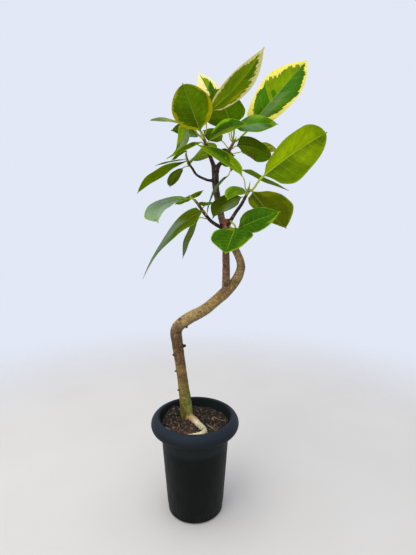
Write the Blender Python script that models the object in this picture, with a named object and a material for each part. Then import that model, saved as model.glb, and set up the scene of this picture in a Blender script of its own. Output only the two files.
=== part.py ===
"""Potted council tree (variegated Ficus altissima) in a black nursery pot.

Metres, +Z up, the front of the plant towards -Y. The origin is the middle of the
pot's foot, on the floor.
"""
import math
import random

import bmesh
import bpy
from mathutils import Vector, noise

# Every touching pair of pieces keeps this much air.
GAP = 0.0004

# Pot wall: radius and height, from the middle of the foot, up the outside,
# under and over the rolled lip, then down the inside to the floor.
POT_SIDES = 40
POT_WALL = [
    (0.0000, 0.0000), (0.0180, 0.0000), (0.0200, 0.0030), (0.0660, 0.0030), (0.0680, 0.0000),
    (0.0745, 0.0000), (0.0792, 0.0050), (0.0802, 0.0230), (0.0818, 0.0260), (0.0968, 0.2450),
    (0.0995, 0.2640), (0.1030, 0.2800), (0.1095, 0.2855), (0.1175, 0.2805), (0.1219, 0.2690),
    (0.1185, 0.2580), (0.1205, 0.2565), (0.1240, 0.2630), (0.1249, 0.2700), (0.1225, 0.2790),
    (0.1160, 0.2875), (0.1085, 0.2905), (0.1030, 0.2895), (0.1005, 0.2865), (0.0975, 0.2640),
    (0.0945, 0.2450),
    (0.0776, 0.0090), (0.0750, 0.0065), (0.0000, 0.0065),
]
DRAIN_HOLES, DRAIN_RADIUS, DRAIN_RING = 6, 0.006, 0.045
NOTCH_ANGLES = (250, 340, 70, 160)
NOTCH_WIDTH, NOTCH_HEIGHT = 0.022, 0.0034

# Soil: rings of its bumpy top, heaped at the back left, and the plug below it.
SOIL_TOP = 0.2640
SOIL_RINGS = (0.010, 0.020, 0.029, 0.038, 0.047, 0.056, 0.066, 0.076, 0.086, 0.0950)
SOIL_PLUG = [(0.0964, 0.2590), (0.0941, 0.2450), (0.0772, 0.0095), (0.0748, 0.0069)]
SOIL_BUMP = 0.0024
HEAP, HEAP_RISE, HEAP_REACH = (-0.075, 0.063), 0.015, 0.060
CHIPS = 24

# Stems: points along each, with the radius there. The trunk leans left, turns
# hard right, crosses over, and climbs back to the crown.
STEMS = {
    "trunk": [
        (-0.023, 0.037, 0.232, 0.0180), (-0.025, 0.035, 0.254, 0.0182), (-0.028, 0.035, 0.305, 0.0173),
        (-0.034, 0.030, 0.366, 0.0152), (-0.042, 0.020, 0.440, 0.0146), (-0.049, 0.010, 0.504, 0.0156),
        (-0.051, 0.005, 0.535, 0.0162), (-0.041, 0.000, 0.556, 0.0160), (-0.012, 0.000, 0.577, 0.0164),
        (0.026, 0.000, 0.598, 0.0153), (0.059, 0.000, 0.625, 0.0147), (0.084, 0.000, 0.648, 0.0155),
        (0.106, 0.000, 0.672, 0.0134), (0.118, 0.000, 0.692, 0.0127), (0.125, 0.002, 0.714, 0.0114),
        (0.123, 0.006, 0.733, 0.0107), (0.114, 0.010, 0.754, 0.0102), (0.100, 0.015, 0.780, 0.0099),
        (0.084, 0.019, 0.814, 0.0094), (0.073, 0.020, 0.845, 0.0092), (0.067, 0.020, 0.877, 0.0089),
        (0.061, 0.018, 0.903, 0.0086), (0.057, 0.014, 0.928, 0.0088), (0.056, 0.010, 0.956, 0.0092),
        (0.056, 0.008, 0.974, 0.0088), (0.057, 0.008, 0.981, 0.0060),
    ],
    "red_stem": [
        (0.085, 0.002, 0.646, 0.0105), (0.085, -0.008, 0.674, 0.0108), (0.085, -0.013, 0.716, 0.0100),
        (0.084, -0.015, 0.756, 0.0096), (0.085, -0.015, 0.800, 0.0096), (0.085, -0.015, 0.845, 0.0099),
    ],
    "left_crown": [
        (0.054, 0.007, 0.966, 0.0058), (0.050, 0.005, 0.983, 0.0056), (0.043, 0.000, 1.000, 0.0050),
        (0.036, -0.010, 1.019, 0.0047), (0.029, -0.020, 1.036, 0.0043), (0.023, -0.026, 1.052, 0.0034),
    ],
    "right_crown": [
        (0.058, 0.009, 0.966, 0.0062), (0.064, 0.013, 0.980, 0.0058), (0.073, 0.021, 0.990, 0.0051),
        (0.089, 0.035, 1.014, 0.0047), (0.098, 0.045, 1.030, 0.0044), (0.108, 0.053, 1.048, 0.0034),
    ],
    "hanging": [
        (0.082, 0.029, 1.003, 0.0030), (0.090, 0.024, 0.992, 0.0028), (0.096, 0.020, 0.977, 0.0026),
        (0.098, 0.018, 0.966, 0.0023),
    ],
    "left_high": [
        (0.056, 0.011, 0.941, 0.0042), (0.046, 0.009, 0.942, 0.0038), (0.033, 0.005, 0.944, 0.0034),
        (0.009, -0.002, 0.955, 0.0033), (-0.002, -0.007, 0.970, 0.0032), (-0.012, -0.012, 0.985, 0.0030),
        (-0.016, -0.015, 0.996, 0.0028), (-0.019, -0.018, 1.009, 0.0022),
    ],
    "left_low": [
        (0.079, 0.018, 0.818, 0.0052), (0.066, 0.010, 0.824, 0.0050), (0.045, 0.000, 0.838, 0.0047),
        (0.029, -0.012, 0.857, 0.0044), (0.022, -0.018, 0.867, 0.0041), (0.010, -0.025, 0.884, 0.0038),
        (0.002, -0.030, 0.894, 0.0030),
    ],
    "right": [
        (0.087, -0.015, 0.826, 0.0054), (0.096, -0.021, 0.842, 0.0050), (0.107, -0.030, 0.861, 0.0046),
        (0.120, -0.036, 0.880, 0.0043), (0.127, -0.040, 0.893, 0.0041), (0.133, -0.045, 0.906, 0.0039),
        (0.137, -0.050, 0.919, 0.0030),
    ],
    "root": [
        (-0.024, 0.038, 0.264, 0.0120), (-0.010, 0.022, 0.267, 0.0105), (0.010, -0.012, 0.267, 0.0090),
        (0.026, -0.040, 0.266, 0.0082), (0.026, -0.055, 0.266, 0.0076), (0.008, -0.066, 0.266, 0.0066),
        (-0.022, -0.072, 0.266, 0.0060), (-0.053, -0.062, 0.266, 0.0054), (-0.074, -0.039, 0.264, 0.0046),
        (-0.083, -0.018, 0.258, 0.0038),
    ],
}
STEM_SIDES = {"trunk": 12, "red_stem": 10, "root": 8}
# Pruned side shoots left as knobs: where on the trunk, which way, length, radius.
KNOBS = [
    ((-0.036, 0.000, 0.560), (-0.25, -0.45, 0.85), 0.021, 0.0035),
    ((-0.026, 0.000, 0.567), (0.3, -0.5, -0.8), 0.021, 0.0040),
    ((-0.047, 0.013, 0.488), (0.9, -0.35, 0.3), 0.025, 0.0052),
    ((-0.045, 0.017, 0.462), (-0.8, -0.4, 0.2), 0.0205, 0.0035),
    ((-0.040, 0.023, 0.412), (-0.85, -0.35, 0.15), 0.020, 0.0030),
    ((-0.033, 0.031, 0.352), (-0.85, -0.4, 0.1), 0.0205, 0.0030),
    ((0.123, 0.003, 0.716), (0.8, -0.5, 0.1), 0.0145, 0.0060),
    ((0.085, -0.008, 0.670), (0.0, -1.0, 0.1), 0.013, 0.0045),
]

# Leaves, in millimetres, percent and degrees: stem it grows from, how far along that
# stem, blade base, blade tip, direction its top face looks, width, bow of the midrib
# towards the top face, fold of the halves, twist from base to tip, widest point, skew
# of that point between the two halves, sharpness of the tip, sideways bow, and how
# much wider than the other the first half is.
LEAVES = [
    ("left_crown", 90, (19, -34, 1058), (-20, -90, 1150), (0, 9, 3), 98, -4, 8, 0, 48, 0, 55, 0, 0),
    ("left_crown", 97, (39, -40, 1102), (156, -130, 1212), (1, 8, 5), 55, -7, 10, 0, 52, -5, 87, -4, 5),
    ("right_crown", 98, (140, 45, 1073), (293, 70, 1248), (-2, -9, 3), 104, 2, 8, 0, 55, -1, 75, 0, 0),
    ("right_crown", 90, (104, 10, 1072), (210, 0, 1080), (0, -8, 5), 54, 8, 6, 0, 50, 0, 75, 0, 0),
    ("right_crown", 94, (103, 35, 1076), (56, -15, 1157), (0, 9, 4), 103, 5, 8, -14, 39, 11, 55, 0, -10),
    ("left_crown", 78, (40, -42, 1035), (122, -90, 1064), (-2, -8, 6), 50, 10, 22, 0, 50, 0, 70, 0, 0),
    ("right_crown", 95, (90, 75, 1080), (13, 120, 1232), (-2, -9, 4), 64, 3, 10, 0, 50, 0, 80, 0, 0),
    ("left_crown", 86, (10, 4, 1069), (-111, 42, 1096), (0, 0, 10), 60, 5, 8, 0, 50, 0, 45, 0, 0),
    ("left_crown", 62, (16, 22, 1054), (-61, 90, 1079), (3, 8, 5), 39, 6, 8, -10, 54, 2, 79, -5, 4),
    ("left_crown", 96, (-17, -21, 1077), (-47, -24, 1008), (-3, -9, 2), 39, -16, 10, 15, 23, -18, 135, 0, -1),
    ("left_crown", 68, (19, -32, 1033), (-57, -95, 988), (-2, -4, 10), 30, 1, 22, 0, 33, -9, 79, -6, -14),
    ("left_high", 97, (-17, -28, 1012), (-49, -70, 987), (-3, 5, 9), 30, 2, 8, 0, 60, -5, 75, -1, 0),
    ("right", 97, (121, -72, 947), (10, -70, 1022), (3, -7, 4), 39, -4, 14, 0, 52, -17, 130, 13, -7),
    ("left_high", 80, (-13, 2, 982), (59, 95, 1019), (0, 6, 8), 88, 10, 8, 10, 55, -6, 62, 4, 5),
    ("left_high", 82, (-20, -26, 988), (-127, -100, 910), (-2, -2.4, 10), 65, 4, 12, 0, 47, 1, 67, -5, -28),
    ("left_high", 87, (-24, 0, 995), (-103, 65, 985), (0, -1, 10), 20, 1, 8, 0, 52, 0, 70, 0, 0),
    ("left_high", 70, (-27, 10, 975), (-65, 50, 930), (0, 3, 10), 32, 4, 6, 0, 62, 0, 45, -5, 0),
    ("left_low", 97, (-4, -42, 896), (-79, -130, 843), (-3, -7, 6), 52, 3, 8, -11, 71, 15, 89, 29, -17),
    ("left_low", 96, (-11, -20, 904), (-19, 60, 889), (-4, -3, 10), 87, -5, 6, 0, 32, -1, 70, 1, -3),
    ("left_low", 58, (25, -38, 866), (-117, -120, 711), (-5, 4, 6), 58, 0, 0, 32, 21, -14, 90, -22, 3),
    ("left_low", 50, (12, -30, 846), (-26, -60, 751), (-9, 4, 3), 42, 4, 10, 0, 50, 0, 80, 0, 0),
    ("hanging", 96, (88, 0, 955), (35, -50, 860), (-8, 1, 5), 40, 8, 12, 0, 50, 0, 80, 0, 0),
    ("hanging", 90, (124, 26, 972), (254, 60, 919), (2, 2, 10), 42, -1, 14, -3, 31, -20, 73, -1, 9),
    ("right", 98, (168, -70, 948), (303, -115, 1041), (-1, 9, 4), 112, 2, 6, 0, 56, 22, 54, 2, 25),
    ("right", 90, (148, -30, 916), (249, 45, 818), (3, 8, 5), 98, 2, 8, 0, 47, 13, 76, -4, -31),
    ("red_stem", 90, (111, -40, 821), (212, -60, 863), (0, -8, 6), 70, 4, 8, 0, 46, 4, 83, 1, 2),
    ("right", 16, (104, -70, 826), (77, -165, 775), (0, -6, 8), 95, 4, 8, 0, 47, 16, 77, -1, 3),
    ("right", 74, (124, -28, 900), (50, -48, 850), (-1, 9, 3), 46, 9, 8, 0, 53, -22, 92, -8, 10),
    ("right", 86, (133, -64, 911), (84, -110, 895), (0, -8, 5), 31, 6, 8, -29, 56, 14, 48, 15, -12),
    ("right_crown", 76, (111, 46, 1033), (199, 20, 1000), (0, 8, 6), 63, 6, 8, 19, 36, -22, 46, 9, 16),
    ("right_crown", 68, (125, 80, 1022), (233, 130, 1031), (0, 6, 8), 50, 6, 8, 0, 50, 0, 75, 0, 0),
    ("right_crown", 42, (64, 54, 1000), (106, 64, 1010), (0, 10, 0), 50, 4, 8, 0, 50, 0, 65, 0, 0),
    ("right_crown", 72, (75, 45, 1045), (27, 24, 1068), (2, 7, 7), 46, 4, 8, 0, 50, 0, 70, 0, 0),
    ("left_low", 72, (26, 10, 876), (34, 75, 886), (0, 0, 10), 40, 3, 8, 0, 50, 0, 70, 0, 0),
]
# Buds: name, stem, how far along, direction, length, radius.
BUDS = [
    ("bud_left", "left_high", 0.90, (-0.3, -0.8, 0.6), 0.013, 0.0016),
    ("bud_right", "right", 1.00, (0.1, -0.1, 1.0), 0.021, 0.0022),
    ("bud_crown_left", "left_crown", 1.00, (0.1, 0.4, 1.0), 0.011, 0.0020),
    ("bud_crown_right", "right_crown", 1.00, (0.3, 0.2, 0.9), 0.014, 0.0020),
]

# Leaf build: stations along blade and stalk, columns across, thicknesses, and the
# gentle wave of the edges as a share of the half width.
BLADE_STATIONS = (0.0, 0.05, 0.13, 0.24, 0.36, 0.48, 0.60, 0.72, 0.83, 0.93, 1.0)
STALK_STATIONS = (0.0, 0.3, 0.6, 0.84)
COLUMNS = (-1.0, -0.5, 0.0, 0.5, 1.0)
BLADE_THICK = 0.0010
WAVE_SHARE, WAVE_COUNT = 0.06, 1.7
STALK_RADIUS = 0.0018
RIB_DEPTH = 0.0014

COLOURS = {
    "pot_plastic": (0.020, 0.023, 0.026),
    "soil": (0.060, 0.035, 0.020),
    "bark": (0.230, 0.165, 0.095),
    "leaf_green": (0.085, 0.230, 0.020),
    "bud_green": (0.300, 0.380, 0.060),
}


def clear_scene():
    for obj in list(bpy.data.objects):
        bpy.data.objects.remove(obj, do_unlink=True)


def make_materials():
    made = {}
    for name, colour in COLOURS.items():
        material = bpy.data.materials.new(name)
        material.use_nodes = True
        shader = material.node_tree.nodes["Principled BSDF"]
        shader.inputs["Base Color"].default_value = (*colour, 1.0)
        shader.inputs["Roughness"].default_value = 0.5
        made[name] = material
    return made


def add_object(name, verts, faces, material=None):
    mesh = bpy.data.meshes.new(name)
    mesh.from_pydata([tuple(v) for v in verts], [], faces)
    mesh.update()
    obj = bpy.data.objects.new(name, mesh)
    bpy.context.scene.collection.objects.link(obj)
    if material:
        mesh.materials.append(material)
    return obj


def lathe(profile, sides):
    """Closed turned shape from a profile that starts and ends on the axis."""
    verts, faces, rings = [], [], []
    for radius, height in profile:
        if radius == 0.0:
            rings.append([len(verts)])
            verts.append(Vector((0.0, 0.0, height)))
            continue
        rings.append(list(range(len(verts), len(verts) + sides)))
        for side in range(sides):
            turn = 2.0 * math.pi * side / sides
            verts.append(Vector((radius * math.cos(turn), radius * math.sin(turn), height)))
    for lower, upper in zip(rings, rings[1:]):
        for side in range(sides):
            after = (side + 1) % sides
            if len(lower) == 1:
                faces.append((lower[0], upper[after], upper[side]))
            elif len(upper) == 1:
                faces.append((lower[side], lower[after], upper[0]))
            else:
                faces.append((lower[side], lower[after], upper[after], upper[side]))
    return verts, faces


def tube(points, radii, sides, swell=0.0):
    """Closed tapered tube along a line of points."""
    points = [Vector(p) for p in points]
    tangents = []
    for i in range(len(points)):
        before, after = points[max(i - 1, 0)], points[min(i + 1, len(points) - 1)]
        tangents.append((after - before).normalized())
    side_axis = tangents[0].orthogonal().normalized()
    verts, faces = [], []
    for i, (point, radius, tangent) in enumerate(zip(points, radii, tangents)):
        side_axis = (side_axis - tangent * side_axis.dot(tangent)).normalized()
        other = tangent.cross(side_axis)
        for side in range(sides):
            turn = 2.0 * math.pi * side / sides
            reach = radius + swell
            verts.append(point + (side_axis * math.cos(turn) + other * math.sin(turn)) * reach)
    for i in range(len(points) - 1):
        for side in range(sides):
            after = (side + 1) % sides
            a, b = i * sides + side, i * sides + after
            faces.append((a, b, b + sides, a + sides))
    last = (len(points) - 1) * sides
    faces.append(tuple(reversed(range(sides))))
    faces.append(tuple(range(last, last + sides)))
    return verts, faces


def box(centre, size, turn=0.0):
    """Box with its middle at centre, turned about Z."""
    verts = []
    for dz in (-0.5, 0.5):
        for dx, dy in ((-0.5, -0.5), (0.5, -0.5), (0.5, 0.5), (-0.5, 0.5)):
            x, y = dx * size[0], dy * size[1]
            verts.append(Vector((
                centre[0] + x * math.cos(turn) - y * math.sin(turn),
                centre[1] + x * math.sin(turn) + y * math.cos(turn),
                centre[2] + dz * size[2],
            )))
    faces = [(3, 2, 1, 0), (4, 5, 6, 7), (0, 1, 5, 4), (1, 2, 6, 5), (2, 3, 7, 6), (3, 0, 4, 7)]
    return verts, faces


def combine(target, tools, operation):
    """Boolean the tools into the target, one after the other, then drop them."""
    for tool in tools:
        modifier = target.modifiers.new("combine", "BOOLEAN")
        modifier.operation = operation
        modifier.solver = "EXACT"
        modifier.object = tool
        bpy.context.view_layer.objects.active = target
        with bpy.context.temp_override(object=target, active_object=target):
            bpy.ops.object.modifier_apply(modifier=modifier.name)
        bpy.data.objects.remove(tool, do_unlink=True)
    clean(target)


def clean(obj):
    """Weld near-coincident points and split every face into triangles."""
    shape = bmesh.new()
    shape.from_mesh(obj.data)
    bmesh.ops.remove_doubles(shape, verts=shape.verts, dist=1e-5)
    bmesh.ops.dissolve_degenerate(shape, edges=shape.edges, dist=1e-5)
    bmesh.ops.triangulate(shape, faces=shape.faces)
    bmesh.ops.recalc_face_normals(shape, faces=shape.faces)
    shape.to_mesh(obj.data)
    shape.free()


def stem_at(name, place):
    """Axis point, direction and radius a share of the way along a stem."""
    line = [(Vector(row[:3]), row[3]) for row in STEMS[name]]
    lengths = [(b[0] - a[0]).length for a, b in zip(line, line[1:])]
    left = place * sum(lengths)
    for (start, end), length in zip(zip(line, line[1:]), lengths):
        if left <= length or end is line[-1]:
            share = min(left / length, 1.0)
            point = start[0].lerp(end[0], share)
            radius = start[1] + (end[1] - start[1]) * share
            return point, (end[0] - start[0]).normalized(), radius
        left -= length


def build_pot(materials):
    pot = add_object("pot", *lathe(POT_WALL, POT_SIDES), materials["pot_plastic"])
    cutters = []
    for i in range(DRAIN_HOLES):
        turn = 2.0 * math.pi * i / DRAIN_HOLES
        x, y = DRAIN_RING * math.cos(turn), DRAIN_RING * math.sin(turn)
        cutters.append(add_object("cutter", *tube([(x, y, -0.01), (x, y, 0.02)], [DRAIN_RADIUS] * 2, 10)))
    for angle in NOTCH_ANGLES:
        turn = math.radians(angle)
        centre = (0.0745 * math.cos(turn), 0.0745 * math.sin(turn), NOTCH_HEIGHT / 2 - 0.005)
        size = (0.030, NOTCH_WIDTH, NOTCH_HEIGHT + 0.010)
        cutters.append(add_object("cutter", *box(centre, size, turn)))
    combine(pot, cutters, "DIFFERENCE")
    return pot


def soil_height(x, y):
    """Bumpy level of the soil at one spot."""
    coarse = noise.noise(Vector((x * 45.0, y * 45.0, 1.7)))
    fine = noise.noise(Vector((x * 130.0, y * 130.0, 5.1)))
    near = max(1.0 - math.dist((x, y), HEAP) / HEAP_REACH, 0.0)
    return SOIL_TOP + SOIL_BUMP * (coarse + 0.8 * fine) + HEAP_RISE * near * near * (3.0 - 2.0 * near)


def build_soil(materials):
    profile = [(0.0, SOIL_TOP)] + [(r, SOIL_TOP) for r in SOIL_RINGS] + SOIL_PLUG + [(0.0, 0.0069)]
    verts, faces = lathe(profile[::-1], POT_SIDES)
    top_edge = SOIL_RINGS[-1] + 0.001
    for vert in verts:
        if vert.z == SOIL_TOP and math.hypot(vert.x, vert.y) < top_edge:
            vert.z = soil_height(vert.x, vert.y)
    soil = add_object("soil", verts, faces, materials["soil"])
    rng = random.Random(11)
    chips = []
    while len(chips) < CHIPS:
        reach, turn = 0.078 * math.sqrt(rng.random()), rng.uniform(0, 2 * math.pi)
        spot = Vector((reach * math.cos(turn), reach * math.sin(turn), 0))
        length, width, thick = rng.uniform(0.010, 0.018), rng.uniform(0.006, 0.009), rng.uniform(0.005, 0.007)
        clear_of_stems = all(
            (spot - Vector((row[0], row[1], 0))).length > row[3] + 0.0135
            for row in STEMS["root"] + STEMS["trunk"][:3]
        )
        clear_of_chips = all((spot - other).length > 0.017 for other, _ in chips)
        clear_of_heap = math.dist((spot.x, spot.y), HEAP) > HEAP_REACH
        if clear_of_stems and clear_of_chips and clear_of_heap:
            centre = (spot.x, spot.y, soil_height(spot.x, spot.y) + 0.0006)
            made = add_object("chip", *box(centre, (length, width, thick), rng.uniform(0, math.pi)))
            chips.append((spot, made))
    combine(soil, [made for _, made in chips], "UNION")
    holes = []
    for rows, end in ((STEMS["trunk"][:3], 0), (STEMS["root"], -1)):
        points, radii = [Vector(row[:3]) for row in rows], [row[3] for row in rows]
        beside = points[1] if end == 0 else points[-2]
        points[end] += (points[end] - beside).normalized() * 2.0 * GAP
        holes.append(add_object("hole", *tube(points, radii, 16, swell=2.2 * GAP)))
    combine(soil, holes, "DIFFERENCE")
    return soil


def build_wood(materials):
    pieces = []
    for name, rows in STEMS.items():
        shape = tube([row[:3] for row in rows], [row[3] for row in rows], STEM_SIDES.get(name, 8))
        pieces.append(add_object("wood" if name == "trunk" else name, *shape, materials["bark"]))
    for i, (spot, way, length, radius) in enumerate(KNOBS):
        start, way = Vector(spot), Vector(way).normalized()
        shape = tube([start, start + way * length * 0.85, start + way * length],
                     [radius * 1.25, radius, radius * 0.7], 8)
        pieces.append(add_object("knob", *shape))
    combine(pieces[0], pieces[1:], "UNION")
    return pieces[0]


def outline(t, widest, sharpness):
    """Half-width share of a blade at t, 0 at both ends and 1 at its widest."""
    if t <= widest:
        return math.sin(0.5 * math.pi * t / widest) ** 0.66
    return max(math.cos(0.5 * math.pi * (t - widest) / (1.0 - widest)), 0.0) ** sharpness


class Leaf:
    """One leaf's numbers in metres and radians, and the curves they describe."""

    def __init__(self, number):
        row = LEAVES[number - 1]
        stem, place, base, tip, facing, width, bow, fold, twist, widest, skew, sharpness, sway, lean = row
        self.base, self.tip = Vector(base) / 1000.0, Vector(tip) / 1000.0
        self.chord = self.tip - self.base
        forward = self.chord.normalized()
        facing = Vector(facing)
        self.up = (facing - forward * facing.dot(forward)).normalized()
        self.bend = (self.up * bow + forward.cross(self.up) * sway) * self.chord.length / 100.0
        self.half, self.lean = width / 2000.0, lean / 100.0
        self.phase = 2.4 * number
        self.fold, self.twist = math.radians(fold), math.radians(twist)
        self.widest, self.skew, self.sharpness = widest / 100.0, skew / 100.0, sharpness / 100.0
        axis, direction, radius = stem_at(stem, place / 100.0)
        away = self.base - axis
        self.away = (away - direction * away.dot(direction)).normalized()
        self.foot = axis + self.away * (radius + GAP)

    def frame(self, t):
        """Midrib point, forward, sideways and up directions of the blade at t."""
        point = self.base + self.chord * t + self.bend * 4.0 * t * (1.0 - t)
        along = (self.chord + self.bend * 4.0 * (1.0 - 2.0 * t)).normalized()
        up = (self.up - along * self.up.dot(along)).normalized()
        side = along.cross(up)
        turn = self.twist * (t - 0.5)
        turned = side * math.cos(turn) + up * math.sin(turn)
        return point, along, turned, turned.cross(along)

    def half_width(self, t, v):
        hand = 1 if v > 0 else -1
        share = outline(t, self.widest + self.skew * hand, self.sharpness)
        return max(self.half * (1.0 - self.lean * hand) * share, 0.0008)

    def wave(self, t, v):
        """Lift of the edges, different on the two halves."""
        turn = 2.0 * math.pi * WAVE_COUNT * t + self.phase + (1.3 if v > 0 else 0.0)
        return WAVE_SHARE * self.half * v * v * math.sin(math.pi * t) * math.sin(turn)

    def stalk(self, t):
        """Point on the stalk, from its foot on the stem to the blade base."""
        reach = (self.base - self.foot).length
        bend_a = self.foot + self.away * reach * 0.25
        bend_b = self.base - self.frame(0.0)[1] * reach * 0.35
        s = 1.0 - t
        return self.foot * s**3 + bend_a * (3 * s * s * t) + bend_b * (3 * s * t * t) + self.base * t**3


def leaf_sections(leaf):
    """Top and bottom points of every station, from the stalk's foot to the tip."""
    sections = []
    round_angles = [math.radians(90.0 - 80.0 * v) for v in COLUMNS]
    _, _, side, _ = leaf.frame(0.0)
    for t in reversed(STALK_STATIONS):
        point = leaf.stalk(t)
        tangent = leaf.away if t == 0.0 else (leaf.stalk(t + 0.05) - point).normalized()
        side = (side - tangent * side.dot(tangent)).normalized()
        up = side.cross(tangent)
        radius = STALK_RADIUS * (1.1 - 0.2 * t)
        top = [point + (side * math.cos(a) + up * math.sin(a)) * radius for a in round_angles]
        bottom = [point + (side * math.cos(a) - up * math.sin(a)) * radius for a in round_angles]
        sections.insert(0, (top, bottom))
    for t in BLADE_STATIONS:
        point, _, side, up = leaf.frame(t)
        flat = min(t / 0.13, 1.0)
        rib = RIB_DEPTH * (1.0 - 0.8 * t)
        radius = STALK_RADIUS * 0.9 * (1.0 - flat)
        top, bottom = [], []
        for v, angle in zip(COLUMNS, round_angles):
            reach = v * leaf.half_width(t, v) * flat
            lift = abs(reach) * math.sin(leaf.fold) + leaf.wave(t, v)
            spread = side * (reach * math.cos(leaf.fold)) + up * lift
            under = (BLADE_THICK + (rib if v == 0.0 else 0.0)) * flat
            round_side, round_up = side * math.cos(angle) * radius, up * math.sin(angle) * radius
            top.append(point + round_side + round_up + spread)
            bottom.append(point + round_side - round_up + spread - up * under)
        sections.append((top, bottom))
    return sections


def build_leaf(number, material):
    """One closed slab: top sheet, matching bottom sheet, edges and two ends."""
    sections = leaf_sections(Leaf(number))
    across, sheet = len(COLUMNS), len(sections) * len(COLUMNS)
    verts = [p for top, _ in sections for p in top] + [p for _, bottom in sections for p in bottom]
    faces = []
    for i in range(len(sections) - 1):
        for j in range(across - 1):
            a = i * across + j
            b, c, d = a + 1, a + across + 1, a + across
            for tri in ((a, b, c), (a, c, d)) if j < across // 2 else ((a, b, d), (b, c, d)):
                faces += [tri, tuple(sheet + k for k in reversed(tri))]
        for a in (i * across, i * across + across - 1):
            faces += [(a, a + across, a + across + sheet), (a, a + across + sheet, a + sheet)]
    for start in (0, sheet - across):
        for a in range(start, start + across - 1):
            faces += [(a, a + 1, a + 1 + sheet), (a, a + 1 + sheet, a + sheet)]
    leaf = add_object(f"leaf_{number:02d}", verts, faces, material)
    shape = bmesh.new()
    shape.from_mesh(leaf.data)
    bmesh.ops.recalc_face_normals(shape, faces=shape.faces)
    shape.to_mesh(leaf.data)
    shape.free()


def build_bud(name, stem, place, way, length, radius, material):
    axis, direction, stem_radius = stem_at(stem, place)
    way = Vector(way).normalized()
    if place < 1.0:
        away = (way - direction * way.dot(direction)).normalized()
        start = axis + away * (stem_radius + GAP)
    else:
        away, start = direction, axis + direction * GAP
    points = [start, start + away * length * 0.25, start + away * length * 0.3 + way * length * 0.3,
              start + away * length * 0.3 + way * length * 0.7]
    return add_object(name, *tube(points, [radius, radius * 1.15, radius * 0.8, radius * 0.2], 8), material)


def main():
    clear_scene()
    materials = make_materials()
    build_pot(materials)
    build_soil(materials)
    build_wood(materials)
    for number in range(1, len(LEAVES) + 1):
        build_leaf(number, materials["leaf_green"])
    for row in BUDS:
        clean(build_bud(*row, materials["bud_green"]))


main()
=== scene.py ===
import math
import random

import bpy
import numpy as np
from mathutils import Euler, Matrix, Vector, noise
from mathutils.kdtree import KDTree


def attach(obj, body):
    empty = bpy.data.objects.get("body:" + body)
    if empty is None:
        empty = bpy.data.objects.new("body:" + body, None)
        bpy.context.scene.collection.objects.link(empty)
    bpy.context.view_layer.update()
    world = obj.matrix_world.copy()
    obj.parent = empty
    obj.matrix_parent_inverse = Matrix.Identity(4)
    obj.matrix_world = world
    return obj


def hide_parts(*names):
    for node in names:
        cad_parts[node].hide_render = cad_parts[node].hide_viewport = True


# Looks of the potted council tree: fine leaves, bark, potting mix, pot, light and camera.
# Lengths are metres unless a name or note says millimetres.
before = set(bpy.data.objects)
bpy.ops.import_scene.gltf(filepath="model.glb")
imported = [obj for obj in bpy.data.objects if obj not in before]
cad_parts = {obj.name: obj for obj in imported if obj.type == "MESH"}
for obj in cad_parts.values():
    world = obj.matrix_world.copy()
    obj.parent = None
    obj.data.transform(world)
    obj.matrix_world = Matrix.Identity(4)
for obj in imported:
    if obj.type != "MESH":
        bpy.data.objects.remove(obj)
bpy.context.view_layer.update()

MM = 0.001

# Camera: where the photographer stood, how far down they looked, and the lens for a
# frame 555 high whose focal length is 417 of the same units.
CAMERA_PLACE = (0.037, -1.10, 0.89)
CAMERA_DOWN_DEG = 10.4
FRAME_HIGH, FOCAL = 555, 417
SENSOR_MM = 36.0

# Display colours, 0 to 255.
TONES = {
    "forest": (50, 98, 0), "deep": (53, 94, 0), "grass": (70, 116, 0), "meadow": (82, 118, 0),
    "leaf": (92, 122, 0), "citrus": (103, 128, 0), "spring": (118, 145, 0), "lime": (128, 156, 0),
    "bright": (139, 164, 0), "acid": (106, 160, 0), "olive": (78, 106, 0), "moss": (90, 108, 8),
    "dark_olive": (72, 90, 0), "dull": (64, 78, 0), "shade": (46, 62, 4), "brown_olive": (84, 97, 0),
    "mustard": (138, 144, 0), "amber": (156, 160, 0), "gold": (164, 156, 8), "fern": (108, 142, 36),
    "pale": (142, 170, 84), "brown": (104, 84, 26), "cream": (240, 226, 144),
    "yellow": (234, 216, 92), "khaki": (212, 202, 124), "stalk": (176, 184, 48),
    # The pale grey-green after stalk_foot is the colour of the sheen painted on blades as a reflection.
    "stalk_foot": (132, 98, 46), "painted_sheen": (140, 160, 143), "vein": (184, 204, 84),
}

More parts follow.
